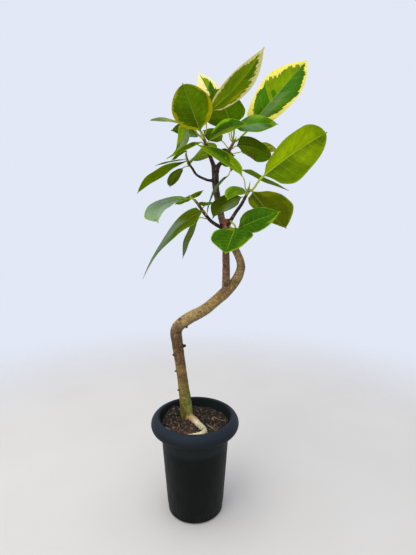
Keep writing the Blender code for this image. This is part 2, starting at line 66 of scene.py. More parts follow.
# Stems, in millimetres: points along each, with the radius there, as in the solids.
STEMS_MM = {
    "trunk": [
        (-23, 37, 232, 18.0), (-25, 35, 254, 18.2), (-28, 35, 305, 17.3),
        (-34, 30, 366, 15.2), (-42, 20, 440, 14.6), (-49, 10, 504, 15.6),
        (-51, 5, 535, 16.2), (-41, 0, 556, 16.0), (-12, 0, 577, 16.4),
        (26, 0, 598, 15.3), (59, 0, 625, 14.7), (84, 0, 648, 15.5),
        (106, 0, 672, 13.4), (118, 0, 692, 12.7), (125, 2, 714, 11.4),
        (123, 6, 733, 10.7), (114, 10, 754, 10.2), (100, 15, 780, 9.9),
        (84, 19, 814, 9.4), (73, 20, 845, 9.2), (67, 20, 877, 8.9),
        (61, 18, 903, 8.6), (57, 14, 928, 8.8), (56, 10, 956, 9.2),
        (56, 8, 974, 8.8), (57, 8, 981, 6.0),
    ],
    "red_stem": [
        (85, 2, 646, 10.5), (85, -8, 674, 10.8), (85, -13, 716, 10.0),
        (84, -15, 756, 9.6), (85, -15, 800, 9.6), (85, -15, 845, 9.9),
    ],
    "left_crown": [
        (54, 7, 966, 5.8), (50, 5, 983, 5.6), (43, 0, 1000, 5.0),
        (36, -10, 1019, 4.7), (29, -20, 1036, 4.3), (23, -26, 1052, 3.4),
    ],
    "right_crown": [
        (58, 9, 966, 6.2), (64, 13, 980, 5.8), (73, 21, 990, 5.1),
        (89, 35, 1014, 4.7), (98, 45, 1030, 4.4), (108, 53, 1048, 3.4),
    ],
    "hanging": [
        (82, 29, 1003, 3.0), (90, 24, 992, 2.8), (96, 20, 977, 2.6),
        (98, 18, 966, 2.3),
    ],
    "left_high": [
        (56, 11, 941, 4.2), (46, 9, 942, 3.8), (33, 5, 944, 3.4),
        (9, -2, 955, 3.3), (-2, -7, 970, 3.2), (-12, -12, 985, 3.0),
        (-16, -15, 996, 2.8), (-19, -18, 1009, 2.2),
    ],
    "left_low": [
        (79, 18, 818, 5.2), (66, 10, 824, 5.0), (45, 0, 838, 4.7),
        (29, -12, 857, 4.4), (22, -18, 867, 4.1), (10, -25, 884, 3.8),
        (2, -30, 894, 3.0),
    ],
    "right": [
        (87, -15, 826, 5.4), (96, -21, 842, 5.0), (107, -30, 861, 4.6),
        (120, -36, 880, 4.3), (127, -40, 893, 4.1), (133, -45, 906, 3.9),
        (137, -50, 919, 3.0),
    ],
    "root": [
        (-24, 38, 264, 12.0), (-10, 22, 267, 10.5), (10, -12, 267, 9.0),
        (26, -40, 266, 8.2), (26, -55, 266, 7.6), (8, -66, 266, 6.6),
        (-22, -72, 266, 6.0), (-53, -62, 266, 5.4), (-74, -39, 264, 4.6),
        (-83, -18, 258, 3.8),
    ],
}
STEMS = {name: [tuple(value / 1000.0 for value in row) for row in rows] for name, rows in STEMS_MM.items()}

# Pruned side shoots left as knobs: where on the trunk, which way, length, radius.
KNOBS = [
    ((-0.036, 0.000, 0.560), (-0.25, -0.45, 0.85), 0.021, 0.0035),
    ((-0.026, 0.000, 0.567), (0.3, -0.5, -0.8), 0.021, 0.0040),
    ((-0.047, 0.013, 0.488), (0.9, -0.35, 0.3), 0.025, 0.0052),
    ((-0.045, 0.017, 0.462), (-0.8, -0.4, 0.2), 0.0205, 0.0035),
    ((-0.040, 0.023, 0.412), (-0.85, -0.35, 0.15), 0.020, 0.0030),
    ((-0.033, 0.031, 0.352), (-0.85, -0.4, 0.1), 0.0205, 0.0030),
    ((0.123, 0.003, 0.716), (0.8, -0.5, 0.1), 0.0145, 0.0060),
    ((0.085, -0.008, 0.670), (0.0, -1.0, 0.1), 0.013, 0.0045),
]

# Leaves, in millimetres, percent and degrees: stem it grows from, how far along that
# stem, blade base, blade tip, direction its top face looks, width, bow of the midrib
# towards the top face, fold of the halves, twist from base to tip, widest point, skew
# of that point between the two halves, sharpness of the tip, sideways bow, and how much
# wider than the other the left half is.
LEAVES = [
    ("left_crown", 90, (19, -34, 1058), (-20, -90, 1150), (0, 9, 3), 98, -4, 8, 0, 48, 0, 55, 0, 0),
    ("left_crown", 97, (39, -40, 1102), (156, -130, 1212), (1, 8, 5), 55, -7, 10, 0, 52, -5, 87, -4, 5),
    ("right_crown", 98, (140, 45, 1073), (293, 70, 1248), (-2, -9, 3), 104, 2, 8, 0, 55, -1, 75, 0, 0),
    ("right_crown", 90, (104, 10, 1072), (210, 0, 1080), (0, -8, 5), 54, 8, 6, 0, 50, 0, 75, 0, 0),
    ("right_crown", 94, (103, 35, 1076), (56, -15, 1157), (0, 9, 4), 103, 5, 8, -14, 39, 11, 55, 0, -10),
    ("left_crown", 78, (40, -42, 1035), (122, -90, 1064), (-2, -8, 6), 50, 10, 22, 0, 50, 0, 70, 0, 0),
    ("right_crown", 95, (90, 75, 1080), (13, 120, 1232), (-2, -9, 4), 64, 3, 10, 0, 50, 0, 80, 0, 0),
    ("left_crown", 86, (10, 4, 1069), (-111, 42, 1096), (0, 0, 10), 60, 5, 8, 0, 50, 0, 45, 0, 0),
    ("left_crown", 62, (16, 22, 1054), (-61, 90, 1079), (3, 8, 5), 39, 6, 8, -10, 54, 2, 79, -5, 4),
    ("left_crown", 96, (-17, -21, 1077), (-47, -24, 1008), (-3, -9, 2), 39, -16, 10, 15, 23, -18, 135, 0, -1),
    ("left_crown", 68, (19, -32, 1033), (-57, -95, 988), (-2, -4, 10), 30, 1, 22, 0, 33, -9, 79, -6, -14),
    ("left_high", 97, (-17, -28, 1012), (-49, -70, 987), (-3, 5, 9), 30, 2, 8, 0, 60, -5, 75, -1, 0),
    ("right", 97, (121, -72, 947), (10, -70, 1022), (3, -7, 4), 39, -4, 14, 0, 52, -17, 130, 13, -7),
    ("left_high", 80, (-13, 2, 982), (59, 95, 1019), (0, 6, 8), 88, 10, 8, 10, 55, -6, 62, 4, 5),
    ("left_high", 82, (-20, -26, 988), (-127, -100, 910), (-2, -2.4, 10), 65, 4, 12, 0, 47, 1, 67, -5, -28),
    ("left_high", 87, (-24, 0, 995), (-103, 65, 985), (0, -1, 10), 20, 1, 8, 0, 52, 0, 70, 0, 0),
    ("left_high", 70, (-27, 10, 975), (-65, 50, 930), (0, 3, 10), 32, 4, 6, 0, 62, 0, 45, -5, 0),
    ("left_low", 97, (-4, -42, 896), (-79, -130, 843), (-3, -7, 6), 52, 3, 8, -11, 71, 15, 89, 29, -17),
    ("left_low", 96, (-11, -20, 904), (-19, 60, 889), (-4, -3, 10), 87, -5, 6, 0, 32, -1, 70, 1, -3),
    ("left_low", 58, (25, -38, 866), (-117, -120, 711), (-5, 4, 6), 58, 0, 0, 32, 21, -14, 90, -22, 3),
    ("left_low", 50, (12, -30, 846), (-26, -60, 751), (-9, 4, 3), 42, 4, 10, 0, 50, 0, 80, 0, 0),
    ("hanging", 96, (88, 0, 955), (35, -50, 860), (-8, 1, 5), 40, 8, 12, 0, 50, 0, 80, 0, 0),
    ("hanging", 90, (124, 26, 972), (254, 60, 919), (2, 2, 10), 42, -1, 14, -3, 31, -20, 73, -1, 9),
    ("right", 98, (168, -70, 948), (303, -115, 1041), (-1, 9, 4), 112, 2, 6, 0, 56, 22, 54, 2, 25),
    ("right", 90, (148, -30, 916), (249, 45, 818), (3, 8, 5), 98, 2, 8, 0, 47, 13, 76, -4, -31),
    ("red_stem", 90, (111, -40, 821), (212, -60, 863), (0, -8, 6), 70, 4, 8, 0, 46, 4, 83, 1, 2),
    ("right", 16, (104, -70, 826), (77, -165, 775), (0, -6, 8), 95, 4, 8, 0, 47, 16, 77, -1, 3),
    ("right", 74, (124, -28, 900), (50, -48, 850), (-1, 9, 3), 46, 9, 8, 0, 53, -22, 92, -8, 10),
    ("right", 86, (133, -64, 911), (84, -110, 895), (0, -8, 5), 31, 6, 8, -29, 56, 14, 48, 15, -12),
    ("right_crown", 76, (111, 46, 1033), (199, 20, 1000), (0, 8, 6), 63, 6, 8, 19, 36, -22, 46, 9, 16),
    ("right_crown", 68, (125, 80, 1022), (233, 130, 1031), (0, 6, 8), 50, 6, 8, 0, 50, 0, 75, 0, 0),
    ("right_crown", 42, (64, 54, 1000), (106, 64, 1010), (0, 10, 0), 50, 4, 8, 0, 50, 0, 65, 0, 0),
    ("right_crown", 72, (75, 45, 1045), (27, 24, 1068), (2, 7, 7), 46, 4, 8, 0, 50, 0, 70, 0, 0),
    ("left_low", 72, (26, 10, 876), (34, 75, 886), (0, 0, 10), 40, 3, 8, 0, 50, 0, 70, 0, 0),
]
# How each leaf is coloured: its green on top and on the underside, the second green, the
# margin on top and below; then in percent the width of the left margin and of the right
# one (one number, or five from base to tip), the share of the second green, and how
# clearly the side veins show. A pair stands for the left and the right half, as seen on
# the top face with the tip up.
LEAF_LOOKS = [
    ("grass", ("leaf", "olive"), "spring", "cream", "gold",
     (26, 22, 6, 11, 6), (28, 22, 8, 15, 6), 14, 18),
    ("grass", "citrus", "olive", "cream", "khaki",
     (4, 16, 30, 40, 50), (8, 20, 12, 22, 20), (8, 20), 8),
    (("grass", "deep"), "olive", "spring", "yellow", "khaki",
     (50, 9, 28, 28, 30), (60, 13, 11, 17, 22), 0, 34),
    ("grass", "olive", "leaf", "lime", "gold", 6, 6, (12, 14), 16),
    ("grass", "meadow", "leaf", "lime", "spring", 4, 4, (14, 22), 14),
    (("deep", "moss"), "olive", "leaf", "lime", "gold", 6, 5, 8, 12),
    ("deep", "olive", "leaf", "cream", "khaki",
     (96, 96, 96, 90, 86), (60, 46, 30, 24, 22), (10, 20), 16),
    ("pale", "pale", "leaf", "pale", "pale", 8, 8, 10, 10),
    ("grass", "meadow", "leaf", "olive", "olive", 6, 6, 20, 10),
    ("moss", "olive", "citrus", "lime", "gold", 6, 6, (12, 6), 10),
    ("dark_olive", "olive", "leaf", "spring", "gold", 8, 10, (10, 20), 10),
    ("leaf", "citrus", "spring", "spring", "gold", 8, 8, 15, 10),
    (("leaf", "olive"), "olive", "spring", "lime", "gold",
     (10, 8, 8, 12, 14), (20, 20, 8, 8, 12), 20, 16),
    ("grass", "bright", "olive", "lime", "lime", 6, 6, 15, 12),
    (("dull", "dark_olive"), "dark_olive", "olive", "leaf", "olive", 6, 8, (8, 12), 10),
    ("moss", "brown_olive", "leaf", "spring", "olive", 8, 8, 15, 8),
    ("olive", "moss", "olive", "leaf", "leaf", 6, 6, 14, 8),
    ("fern", "olive", "leaf", "pale", "gold", 7, 7, 12, 18),
    ("moss", "citrus", "olive", "spring", "spring", 8, 8, 16, 8),
    ("deep", "citrus", "olive", "olive", "pale", 4, 5, (10, 14), 12),
    ("grass", "moss", "brown_olive", "olive", "olive", 5, 5, 12, 8),
    ("grass", "moss", "fern", "olive", "olive", 5, 5, 12, 8),
    ("moss", ("moss", "spring"), "olive", "leaf", "leaf", 5, 5, 10, 8),
    ("grass", ("spring", "bright"), "lime", "lime", "bright", 5, 5, (14, 16), (90, 40)),
    ("grass", ("moss", "brown_olive"), "olive", "lime", "mustard",
     (6, 6, 5, 6, 8), (6, 6, 8, 10, 8), 16, 24),
    ("deep", "olive", "grass", "lime", "gold",
     (3, 3, 3, 4, 5), (4, 5, 6, 10, 9), (12, 16), 42),
    ("deep", "olive", "grass", "lime", "gold",
     (5, 5, 7, 6, 6), (9, 8, 4, 4, 6), 16, 38),
    ("grass", ("dull", "moss"), "shade", "leaf", "olive", 4, 5, (16, 8), 14),
    (("leaf", "meadow"), "olive", "grass", "lime", "gold",
     (8, 10, 8, 8, 8), (8, 6, 8, 12, 12), (20, 18), 18),
    ("grass", ("citrus", "dark_olive"), "dull", "grass", "olive", 3, 5, (16, 14), 18),
    ("moss", "amber", "leaf", "gold", "gold", 14, 8, (16, 30), 8),
    ("grass", "dark_olive", "olive", "olive", "olive", 6, 6, 10, 8),
    ("grass", "citrus", "olive", "olive", "olive", 6, 6, 10, 8),
    ("citrus", "leaf", "spring", "spring", "olive", 6, 6, 12, 8),
]
MARGIN_STATIONS = (0.0, 0.25, 0.5, 0.75, 1.0)
# Larger fields of the blade, bounded by side veins: half (-1 left, 1 right, 0 both), then
# in percent where the first and last vein leave the midrib, and how near and far they
# reach out. First those of the second green with sharp sides.
FIELDS = {
    2: [(-1, 60, 100, 10, 50)],
    3: [(-1, 39, 44, 0, 100), (-1, 44, 50, 26, 100), (-1, 50, 97, 0, 100)],
    13: [(-1, 0, 22, 0, 100), (1, 0, 33, 0, 100)],
    20: [(1, 30, 95, 25, 100)],
}
# Fields of another tone that fade in and out, with the tone and its strength in percent. Most are the blade's
# own colours; those on leaves 5 and 6 are painted light and painted shade.
SHADES = {
    1: [(1, 0, 45, 5, 70, "dark_olive", 50), (-1, 30, 55, 30, 90, "olive", 40)],
    2: [(-1, 22, 42, 48, 72, "gold", 70), (1, 5, 28, 45, 85, "mustard", 60),
        (1, 42, 62, 20, 90, "olive", 40), (-1, 70, 100, 0, 80, "mustard", 50)],
    3: [(-1, 18, 38, 0, 100, "forest", 40), (1, 52, 95, 0, 60, "forest", 70),
        (1, 40, 60, 60, 100, "forest", 70), (1, 10, 50, 0, 45, "leaf", 30),
        (1, 30, 38, 35, 70, "leaf", 50)],
    4: [(0, 84, 100, 0, 100, "spring", 80), (-1, 28, 58, 55, 100, "lime", 60),
        (1, 0, 20, 20, 100, "forest", 90), (0, 60, 84, 0, 80, "deep", 60)],
    # Leaf 5's two fields on its right half are painted light that brightens that half.
    5: [(1, 28, 60, 5, 100, "citrus", 80), (1, 60, 100, 0, 100, "spring", 80)],
    # Leaf 6's bright acid field and its dark shade field are painted light and painted shade on the two faces
    # of its fold.
    6: [(-1, 12, 54, 60, 100, "acid", 100), (-1, 25, 68, 0, 55, "shade", 60),
        (0, 72, 100, 0, 100, "deep", 70)],
    7: [(1, 70, 100, 0, 100, "lime", 70)],
    8: [(-1, 10, 66, 0, 100, "cream", 35)],
    9: [(0, 66, 100, 0, 100, "shade", 60)],
    10: [(1, 72, 100, 0, 100, "dull", 80), (1, 0, 62, 0, 100, "spring", 90),
         (-1, 80, 100, 0, 100, "olive", 80)],
    11: [(0, 72, 100, 0, 100, "citrus", 70)],
    13: [(1, 36, 68, 0, 85, "deep", 80), (-1, 30, 50, 0, 35, "deep", 60),
         (0, 76, 100, 0, 100, "spring", 30)],
    14: [(-1, 10, 90, 0, 100, "citrus", 60)],
    15: [(1, 12, 60, 5, 50, "dull", 70)],
    18: [(1, 0, 45, 10, 100, "pale", 60), (-1, 0, 20, 0, 100, "olive", 50)],
    19: [(1, 0, 35, 0, 100, "bright", 90)],
    20: [(1, 12, 50, 0, 60, "brown_olive", 60), (0, 0, 26, 0, 80, "brown_olive", 60)],
    24: [(-1, 0, 46, 0, 92, "leaf", 70), (-1, 44, 80, 30, 100, "bright", 70),
         (-1, 82, 100, 0, 70, "olive", 60), (1, 84, 100, 0, 100, "leaf", 60)],
    25: [(1, 0, 22, 40, 100, "mustard", 50), (1, 35, 90, 72, 100, "mustard", 50),
         (-1, 15, 36, 50, 100, "mustard", 60)],
    26: [(1, 55, 97, 62, 100, "lime", 60), (1, 50, 76, 15, 62, "forest", 60),
         (-1, 80, 100, 0, 100, "grass", 50), (-1, 5, 25, 30, 95, "leaf", 50)],
    27: [(1, 0, 20, 0, 60, "mustard", 60), (-1, 35, 62, 60, 100, "leaf", 30),
         (1, 62, 86, 50, 100, "grass", 60)],
    28: [(1, 0, 50, 20, 100, "pale", 30), (-1, 20, 60, 0, 90, "shade", 20)],
    29: [(1, 38, 96, 66, 100, "lime", 60), (-1, 34, 70, 50, 80, "lime", 50),
         (-1, 30, 60, 88, 100, "dull", 60), (-1, 66, 100, 0, 100, "meadow", 80)],
    30: [(-1, 26, 48, 60, 100, "brown", 50), (1, 62, 92, 78, 100, "mustard", 80),
         (-1, 50, 100, 0, 100, "meadow", 60), (1, 30, 100, 0, 90, "olive", 50)],
    31: [(1, 50, 100, 0, 100, "yellow", 25)],
}
# Fields of painted sheen, a pale reflection of the backdrop painted into the blade's colour, with its
# strength in percent.
PAINTED_SHEENS = {
    3: [(1, 12, 52, 0, 45, 16)],
    4: [(1, 16, 64, 0, 85, 26), (-1, 18, 52, 15, 80, 6)],
    8: [(0, 0, 100, 0, 100, 10)],
    9: [(1, 0, 60, 50, 100, 60)],
    10: [(-1, 10, 85, 10, 100, 34)],
    16: [(0, 0, 100, 0, 100, 10)],
    18: [(-1, 15, 97, 0, 100, 92), (1, 28, 95, 0, 85, 80)],
    20: [(-1, 30, 70, 0, 100, 80), (-1, 70, 100, 0, 100, 90),
         (1, 42, 100, 0, 100, 55)],
    21: [(0, 0, 60, 0, 100, 10), (0, 60, 100, 0, 100, 28)],
    22: [(0, 14, 80, 0, 100, 34)],
    23: [(-1, 0, 100, 0, 100, 20)],
    28: [(1, 10, 60, 20, 90, 20)],
    29: [(-1, 40, 70, 0, 40, 8), (1, 10, 35, 0, 60, 6)],
}
# Buds: stem, how far along, direction, length, radius.
BUDS = {
    "bud_left": ("left_high", 0.90, (-0.3, -0.8, 0.6), 0.013, 0.0016),
    "bud_right": ("right", 1.00, (0.1, -0.1, 1.0), 0.021, 0.0022),
    "bud_crown_left": ("left_crown", 1.00, (0.1, 0.4, 1.0), 0.011, 0.0020),
    "bud_crown_right": ("right_crown", 1.00, (0.3, 0.2, 0.9), 0.014, 0.0020),
}

# Side veins: where the first leaves the midrib, their spacing, and how far they lean
# towards the tip on their way out.
VEIN_FIRST, VEIN_STEP, VEIN_COUNT = 0.05, 0.115, 8
VEIN_LEAN, VEIN_CURVE = 0.13, 0.07
VEIN_HALF = 0.007
ROW_OFFSETS = (-VEIN_HALF, 0.0, VEIN_HALF, 0.032, 0.0575, 0.083)
TIP_ROWS = (0.955, 0.970, 0.982, 0.991, 0.997, 1.0)
HALF_COLUMNS = (0.0, 0.012, 0.03, 0.07, 0.14, 0.24, 0.35, 0.46, 0.57, 0.68, 0.78, 0.86, 0.92, 0.96,
                0.985, 1.0)
NIB_LENGTH, NIB_HALF = 0.004, 0.0019
BLADE_THICK, EDGE_THICK = 0.0008, 0.0004
WAVE_SHARE, WAVE_COUNT = 0.06, 1.7
DOME, QUILT, CURL, RIDGE = 0.05, 0.0005, 0.0012, 0.0005
CURL_FROM, RIDGE_HALF, RIDGE_REACH = 0.78, 0.0045, 0.94
# Share of the length over which a blade flattens out from its stalk, and its least half-width.
NECK, LEAST_HALF = 0.13, 0.0008
STALK_RADIUS, MIDRIB_PROUD = 0.0020, 0.00025
RIB_RADIUS, RIB_END_RADIUS = 0.0016, 0.00032
STALK_POINTS, RIB_POINTS, STALK_SIDES = 16, 24, 10
BUD_POINTS, BUD_SIDES = 22, 14
LEAF_GLOSS, STALK_GLOSS = 0.04, 0.10
# Leaves seen edge on, with a duller skin.
DULL_LEAVES = (11, 12, 15, 16, 19, 22, 34)
FIELD_EDGE, SHADE_EDGE = 0.025, 0.08
# How far apart two leaves' patterns of streaks lie.
SEED_STEP = 7.3


# Small shared tools


def linear(tone):
    """Linear colour of a display tone given by name or as 0-255 values."""
    values = TONES[tone] if isinstance(tone, str) else tone
    return tuple(((c / 255 + 0.055) / 1.055) ** 2.4 if c > 10 else c / 3294.6 for c in values)


def unit(v):
    return v / np.linalg.norm(v, axis=-1, keepdims=True)


def smoothstep(low, high, x):
    share = np.clip((np.asarray(x, float) - low) / (high - low), 0.0, 1.0)
    return share * share * (3.0 - 2.0 * share)


def mixed(first, second, share):
    """Colours or points a share of the way from the first to the second."""
    return np.asarray(first) * (1.0 - share) + np.asarray(second) * share


def spline_point(a, b, c, d, t):
    """Point on the smooth curve from b to c, with a before and d after them."""
    return 0.5 * (2 * b + (c - a) * t + (2 * a - 5 * b + 4 * c - d) * t * t
                  + (3 * b - a - 3 * c + d) * t**3)


def new_object(name, verts, faces):
    mesh = bpy.data.meshes.new(name)
    mesh.from_pydata(np.asarray(verts).tolist(), [], faces)
    mesh.update()
    obj = bpy.data.objects.new(name, mesh)
    bpy.context.scene.collection.objects.link(obj)
    return obj


def add_piece(name, verts, faces, materials, slot, replaces=()):
    """A smooth mesh piece that rides with the plant."""
    obj = new_object(name, verts, faces)
    for material in materials:
        obj.data.materials.append(material)
    obj.data.shade_smooth()
    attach(obj, "root")
    if replaces:
        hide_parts(*replaces)
    return obj


def paint(obj, name, values):
    """Stores three numbers a vertex under a name that materials read."""
    values = np.asarray(values, np.float32)
    layer = obj.data.attributes.new(name, "FLOAT_VECTOR", "POINT")
    layer.data.foreach_set("vector", np.ascontiguousarray(values).ravel())


def tube(points, radii, sides):
    """Closed round tube along points, as vertex rows and faces."""
    points, radii = np.asarray(points, float), np.asarray(radii, float)
    ahead = np.vstack([points[1:], points[-1:]]) - np.vstack([points[:1], points[:-1]])
    tangents = unit(ahead)
    side = np.array(Vector(tangents[0]).orthogonal().normalized())
    turns = 2.0 * math.pi * np.arange(sides) / sides
    rings = []
    for point, radius, tangent in zip(points, radii, tangents):
        side = unit(side - tangent * side.dot(tangent))
        other = np.cross(tangent, side)
        circle = np.outer(np.cos(turns), side) + np.outer(np.sin(turns), other)
        rings.append(point + radius * circle)
    faces = []
    for i in range(len(points) - 1):
        for k in range(sides):
            a, b = i * sides + k, i * sides + (k + 1) % sides
            faces.append((a, b, b + sides, a + sides))
    last = (len(points) - 1) * sides
    faces += [tuple(reversed(range(sides))), tuple(range(last, last + sides))]
    return np.vstack(rings), faces


def join(shapes):
    """Several (verts, faces) as one."""
    verts, faces, start = [], [], 0
    for some, shape_faces in shapes:
        verts.append(np.asarray(some, float))
        faces += [tuple(start + i for i in face) for face in shape_faces]
        start += len(some)
    return np.vstack(verts), faces


def smooth_line(rows, spacing):
    """Evenly spaced points and radii on a smooth curve through a stem's rows."""
    rows = np.asarray(rows, float)
    padded = np.vstack([2 * rows[0] - rows[1], rows, 2 * rows[-1] - rows[-2]])
    samples = []
    for i in range(1, len(padded) - 2):
        a, b, c, d = padded[i - 1:i + 3]
        count = max(2, int(np.linalg.norm(c[:3] - b[:3]) / spacing))
        for t in np.arange(count) / count:
            samples.append(spline_point(a, b, c, d, t))
    samples.append(rows[-1])
    return np.array(samples)


def stem_at(name, place):
    """Axis point, direction and radius a share of the way along a stem."""
    line = [(Vector(row[:3]), row[3]) for row in STEMS[name]]
    lengths = [(b[0] - a[0]).length for a, b in zip(line, line[1:])]
    left = place * sum(lengths)
    for (start, end), length in zip(zip(line, line[1:]), lengths):
        if left <= length or end is line[-1]:
            share = min(left / length, 1.0)
            point = start[0].lerp(end[0], share)
            radius = start[1] + (end[1] - start[1]) * share
            return np.array(point), np.array((end[0] - start[0]).normalized()), radius
        left -= length


# Shader building blocks


class Wire:
    """A value in a shader tree; arithmetic with it adds the nodes that work it out."""

    def __init__(self, tree, socket):
        self.tree, self.socket = tree, socket

    def math(self, operation, other=0.0):
        return node(self.tree, "Math", {0: self, 1: other}, operation=operation)

    def __add__(self, other):
        return self.math("ADD", other)

    def __sub__(self, other):
        return self.math("SUBTRACT", other)

    def __mul__(self, other):
        return self.math("MULTIPLY", other)

    def __truediv__(self, other):
        return self.math("DIVIDE", other)

    def __abs__(self):
        return self.math("ABSOLUTE")

    def into(self, socket):
        self.tree.links.new(self.socket, socket)


def new_node(tree, kind, inputs, settings):
    made = tree.nodes.new("ShaderNode" + kind)
    for key, value in settings.items():
        setattr(made, key, value)
    for key, value in inputs.items():
        if isinstance(value, Wire):
            value.into(made.inputs[key])
        else:
            made.inputs[key].default_value = value
    return made


def node(tree, kind, inputs, output=0, **settings):
    """One output of a new node."""
    return Wire(tree, new_node(tree, kind, inputs, settings).outputs[output])


def parts_of(vector):
    made = new_node(vector.tree, "SeparateXYZ", {0: vector}, {})
    return [Wire(vector.tree, socket) for socket in made.outputs]


def vector_of(x, y, z):
    return node(x.tree, "CombineXYZ", {0: x, 1: y, 2: z})


def blend(share, first, second, kind="MIX"):
    tree = next(value.tree for value in (share, first, second) if isinstance(value, Wire))
    return node(tree, "Mix", {0: share, 6: first, 7: second}, 2, data_type="RGBA", blend_type=kind)


def shaded(colour, shade):
    return blend(1.0, colour, vector_of(shade, shade, shade), "MULTIPLY")


def ramp(value, low, high, to_low=0.0, to_high=1.0):
    inputs = {"Value": value, "From Min": low, "From Max": high, "To Min": to_low, "To Max": to_high}
    return node(value.tree, "MapRange", inputs, interpolation_type="SMOOTHSTEP")


def cloud(vector, scale, detail=2.0, rough=0.5):
    inputs = {"Vector": vector, "Scale": scale, "Detail": detail, "Roughness": rough}
    return node(vector.tree, "TexNoise", inputs)


def cells(vector, scale, feature="F1"):
    return node(vector.tree, "TexVoronoi", {"Vector": vector, "Scale": scale}, feature=feature)


def length_of(vector):
    return node(vector.tree, "VectorMath", {0: vector}, "Value", operation="LENGTH")


def stored(tree, name):
    return node(tree, "Attribute", {}, "Vector", attribute_name=name)


def object_place(tree):
    return node(tree, "TexCoord", {}, "Object")


def opaque(tone):
    return (*linear(tone), 1.0)


def new_material(name):
    material = bpy.data.materials.new(name)
    material.use_nodes = True
    return material, material.node_tree, material.node_tree.nodes["Principled BSDF"]


def surface(shader, colour, rough, relief, strength, depth, gloss):
    """Connects colour, roughness and relief of a material and sets its gloss."""
    bump = node(relief.tree, "Bump", {"Height": relief, "Strength": strength, "Distance": depth})
    for name, wire in (("Base Color", colour), ("Roughness", rough), ("Normal", bump)):
        wire.into(shader.inputs[name])
    shader.inputs["Specular IOR Level"].default_value = gloss


def leaf_material(name, gloss):
    """Blade: greens, painted sheen, jagged pale margin that follows the side veins, gloss on top."""
    material, tree, shader = new_material(name)
    along, across, edge = parts_of(stored(tree, "blade_place"))
    margin_width, second_share, painted_sheen = parts_of(stored(tree, "blade_look"))
    under, seed, veins = parts_of(stored(tree, "blade_side"))
    out = abs(across)
    shifted = seed + across.math("SIGN") * 2.3

    def streaks(by_vein, by_reach, shift, detail=2.0):
        return cloud(vector_of(along * by_vein, out * by_reach, shifted + shift), 1.0, detail, 0.6)

    # Greens: which share lies inside the margin, and patches of the second green.
    uneven = streaks(5.0, 0.9, 0.0) * 1.8 + streaks(34.0, 3.0, 11.0) * 2.4
    inside = edge - margin_width * (uneven - 1.1)
    halo = ramp(inside, 0.0, 0.05, 0.5, 0.0) * ramp(margin_width, 0.1, 0.3)
    patches = ramp(second_share * 0.55 + 0.20 - streaks(11.0, 0.8, 23.0), -0.012, 0.012)
    second = stored(tree, "blade_second")
    colour = blend(patches.math("MAXIMUM", halo), stored(tree, "blade_tone"), second)
    drift, mottle = streaks(2.2, 1.4, 37.0, 3.0), streaks(24.0, 5.0, 71.0)
    colour = shaded(colour, ramp(drift, 0.3, 0.7, 0.78, 1.20) * ramp(mottle, 0.3, 0.7, 0.90, 1.10))
    # Painted sheen: a pale, streaky reflection of the backdrop painted into the colour.
    streaked_painted_sheen = painted_sheen * ramp(streaks(7.0, 1.2, 83.0), 0.32, 0.62, 0.55, 1.0)
    colour = blend(streaked_painted_sheen, colour, opaque("painted_sheen"))

    # Side veins and midrib as paler lines.
    steps = (along - VEIN_FIRST) / VEIN_STEP
    off_vein = abs(steps - steps.math("ROUND"))
    line = ramp(off_vein, 0.012, 0.055, 1.0, 0.0) * ramp(out, 0.45, 0.95, 1.0, 0.0) * veins
    midrib = ramp(out, 0.014, 0.034, 1.0, 0.0) * ramp(along, 0.0, 1.0, 0.85, 0.35)
    line = (line * 0.55).math("MAXIMUM", midrib * 0.80)
    colour = blend(line, colour, blend(0.6, colour, opaque("vein")))

    # Pale margin with a few green freckles.
    cream = shaded(stored(tree, "blade_margin"), ramp(streaks(40.0, 2.0, 51.0), 0.3, 0.7, 0.88, 1.04))
    freckles = ramp(streaks(60.0, 5.0, 91.0), 0.62, 0.68, 0.0, 0.6)
    cream = blend(freckles, cream, blend(0.5, cream, second))
    colour = blend(ramp(inside, -0.006, 0.008), cream, colour)

    net = cells(vector_of(along * 60.0, across * 22.0, seed), 1.0, "DISTANCE_TO_EDGE")
    relief = ramp(net, 0.0, 0.12) + streaks(50.0, 30.0, 61.0) * 0.6
    rough = ramp(under, 0.0, 1.0, 0.36, 0.55) + drift * 0.10
    surface(shader, colour, rough, relief, 0.3, 0.00012, gloss)
    return material


def tinted_material(name, rough, grain, depth, shade_by=0.25, gloss=0.5):
    """Colour stored on the vertices, broken up by two sizes of grain."""
    material, tree, shader = new_material(name)
    place = object_place(tree)
    coarse, fine = cloud(place, grain, 3.0), cloud(place, grain * 6.0, 2.0)
    both = coarse * 0.6 + fine * 0.4
    colour = shaded(stored(tree, "tone"), ramp(both, 0.3, 0.7, 1.0 - shade_by, 1.0 + shade_by))
    surface(shader, colour, ramp(coarse, 0.3, 0.7, rough - 0.07, rough + 0.07), both, 0.5, depth, gloss)
    return material


def bark_material():
    """Bark: stored colour, fine lengthwise cracks, pale corky dots, ring lines."""
    material, tree, shader = new_material("bark_surface")
    place = stored(tree, "bark_place")
    x, y, z = parts_of(place)
    cracks = cloud(vector_of(x, y, z * 0.30), 820.0, 4.0, 0.65)
    rings = cloud(vector_of(x, y, z * 3.0), 240.0, 3.0, 0.6)
    blotch = cloud(place, 150.0, 3.0, 0.6)
    cork = ramp(cells(place, 330.0), 0.10, 0.26, 1.0, 0.0)
    shade = ramp(cracks, 0.34, 0.64, 0.50, 1.30) * ramp(rings, 0.32, 0.66, 0.68, 1.20)
    colour = shaded(stored(tree, "tone"), shade)
    bright = blend(1.0, colour, (2.0, 2.0, 1.9, 1.0), "MULTIPLY")
    pale = blend(0.55, bright, opaque((176, 160, 112)))
    colour = blend(ramp(blotch, 0.55, 0.66, 0.0, 0.55), colour, pale)
    colour = blend(cork * 0.40, colour, pale)
    relief = cracks * 0.7 + rings * 0.6 + cork * 0.25
    surface(shader, colour, ramp(rings, 0.3, 0.7, 0.66, 0.90), relief, 0.9, 0.0009, 0.25)
    return material


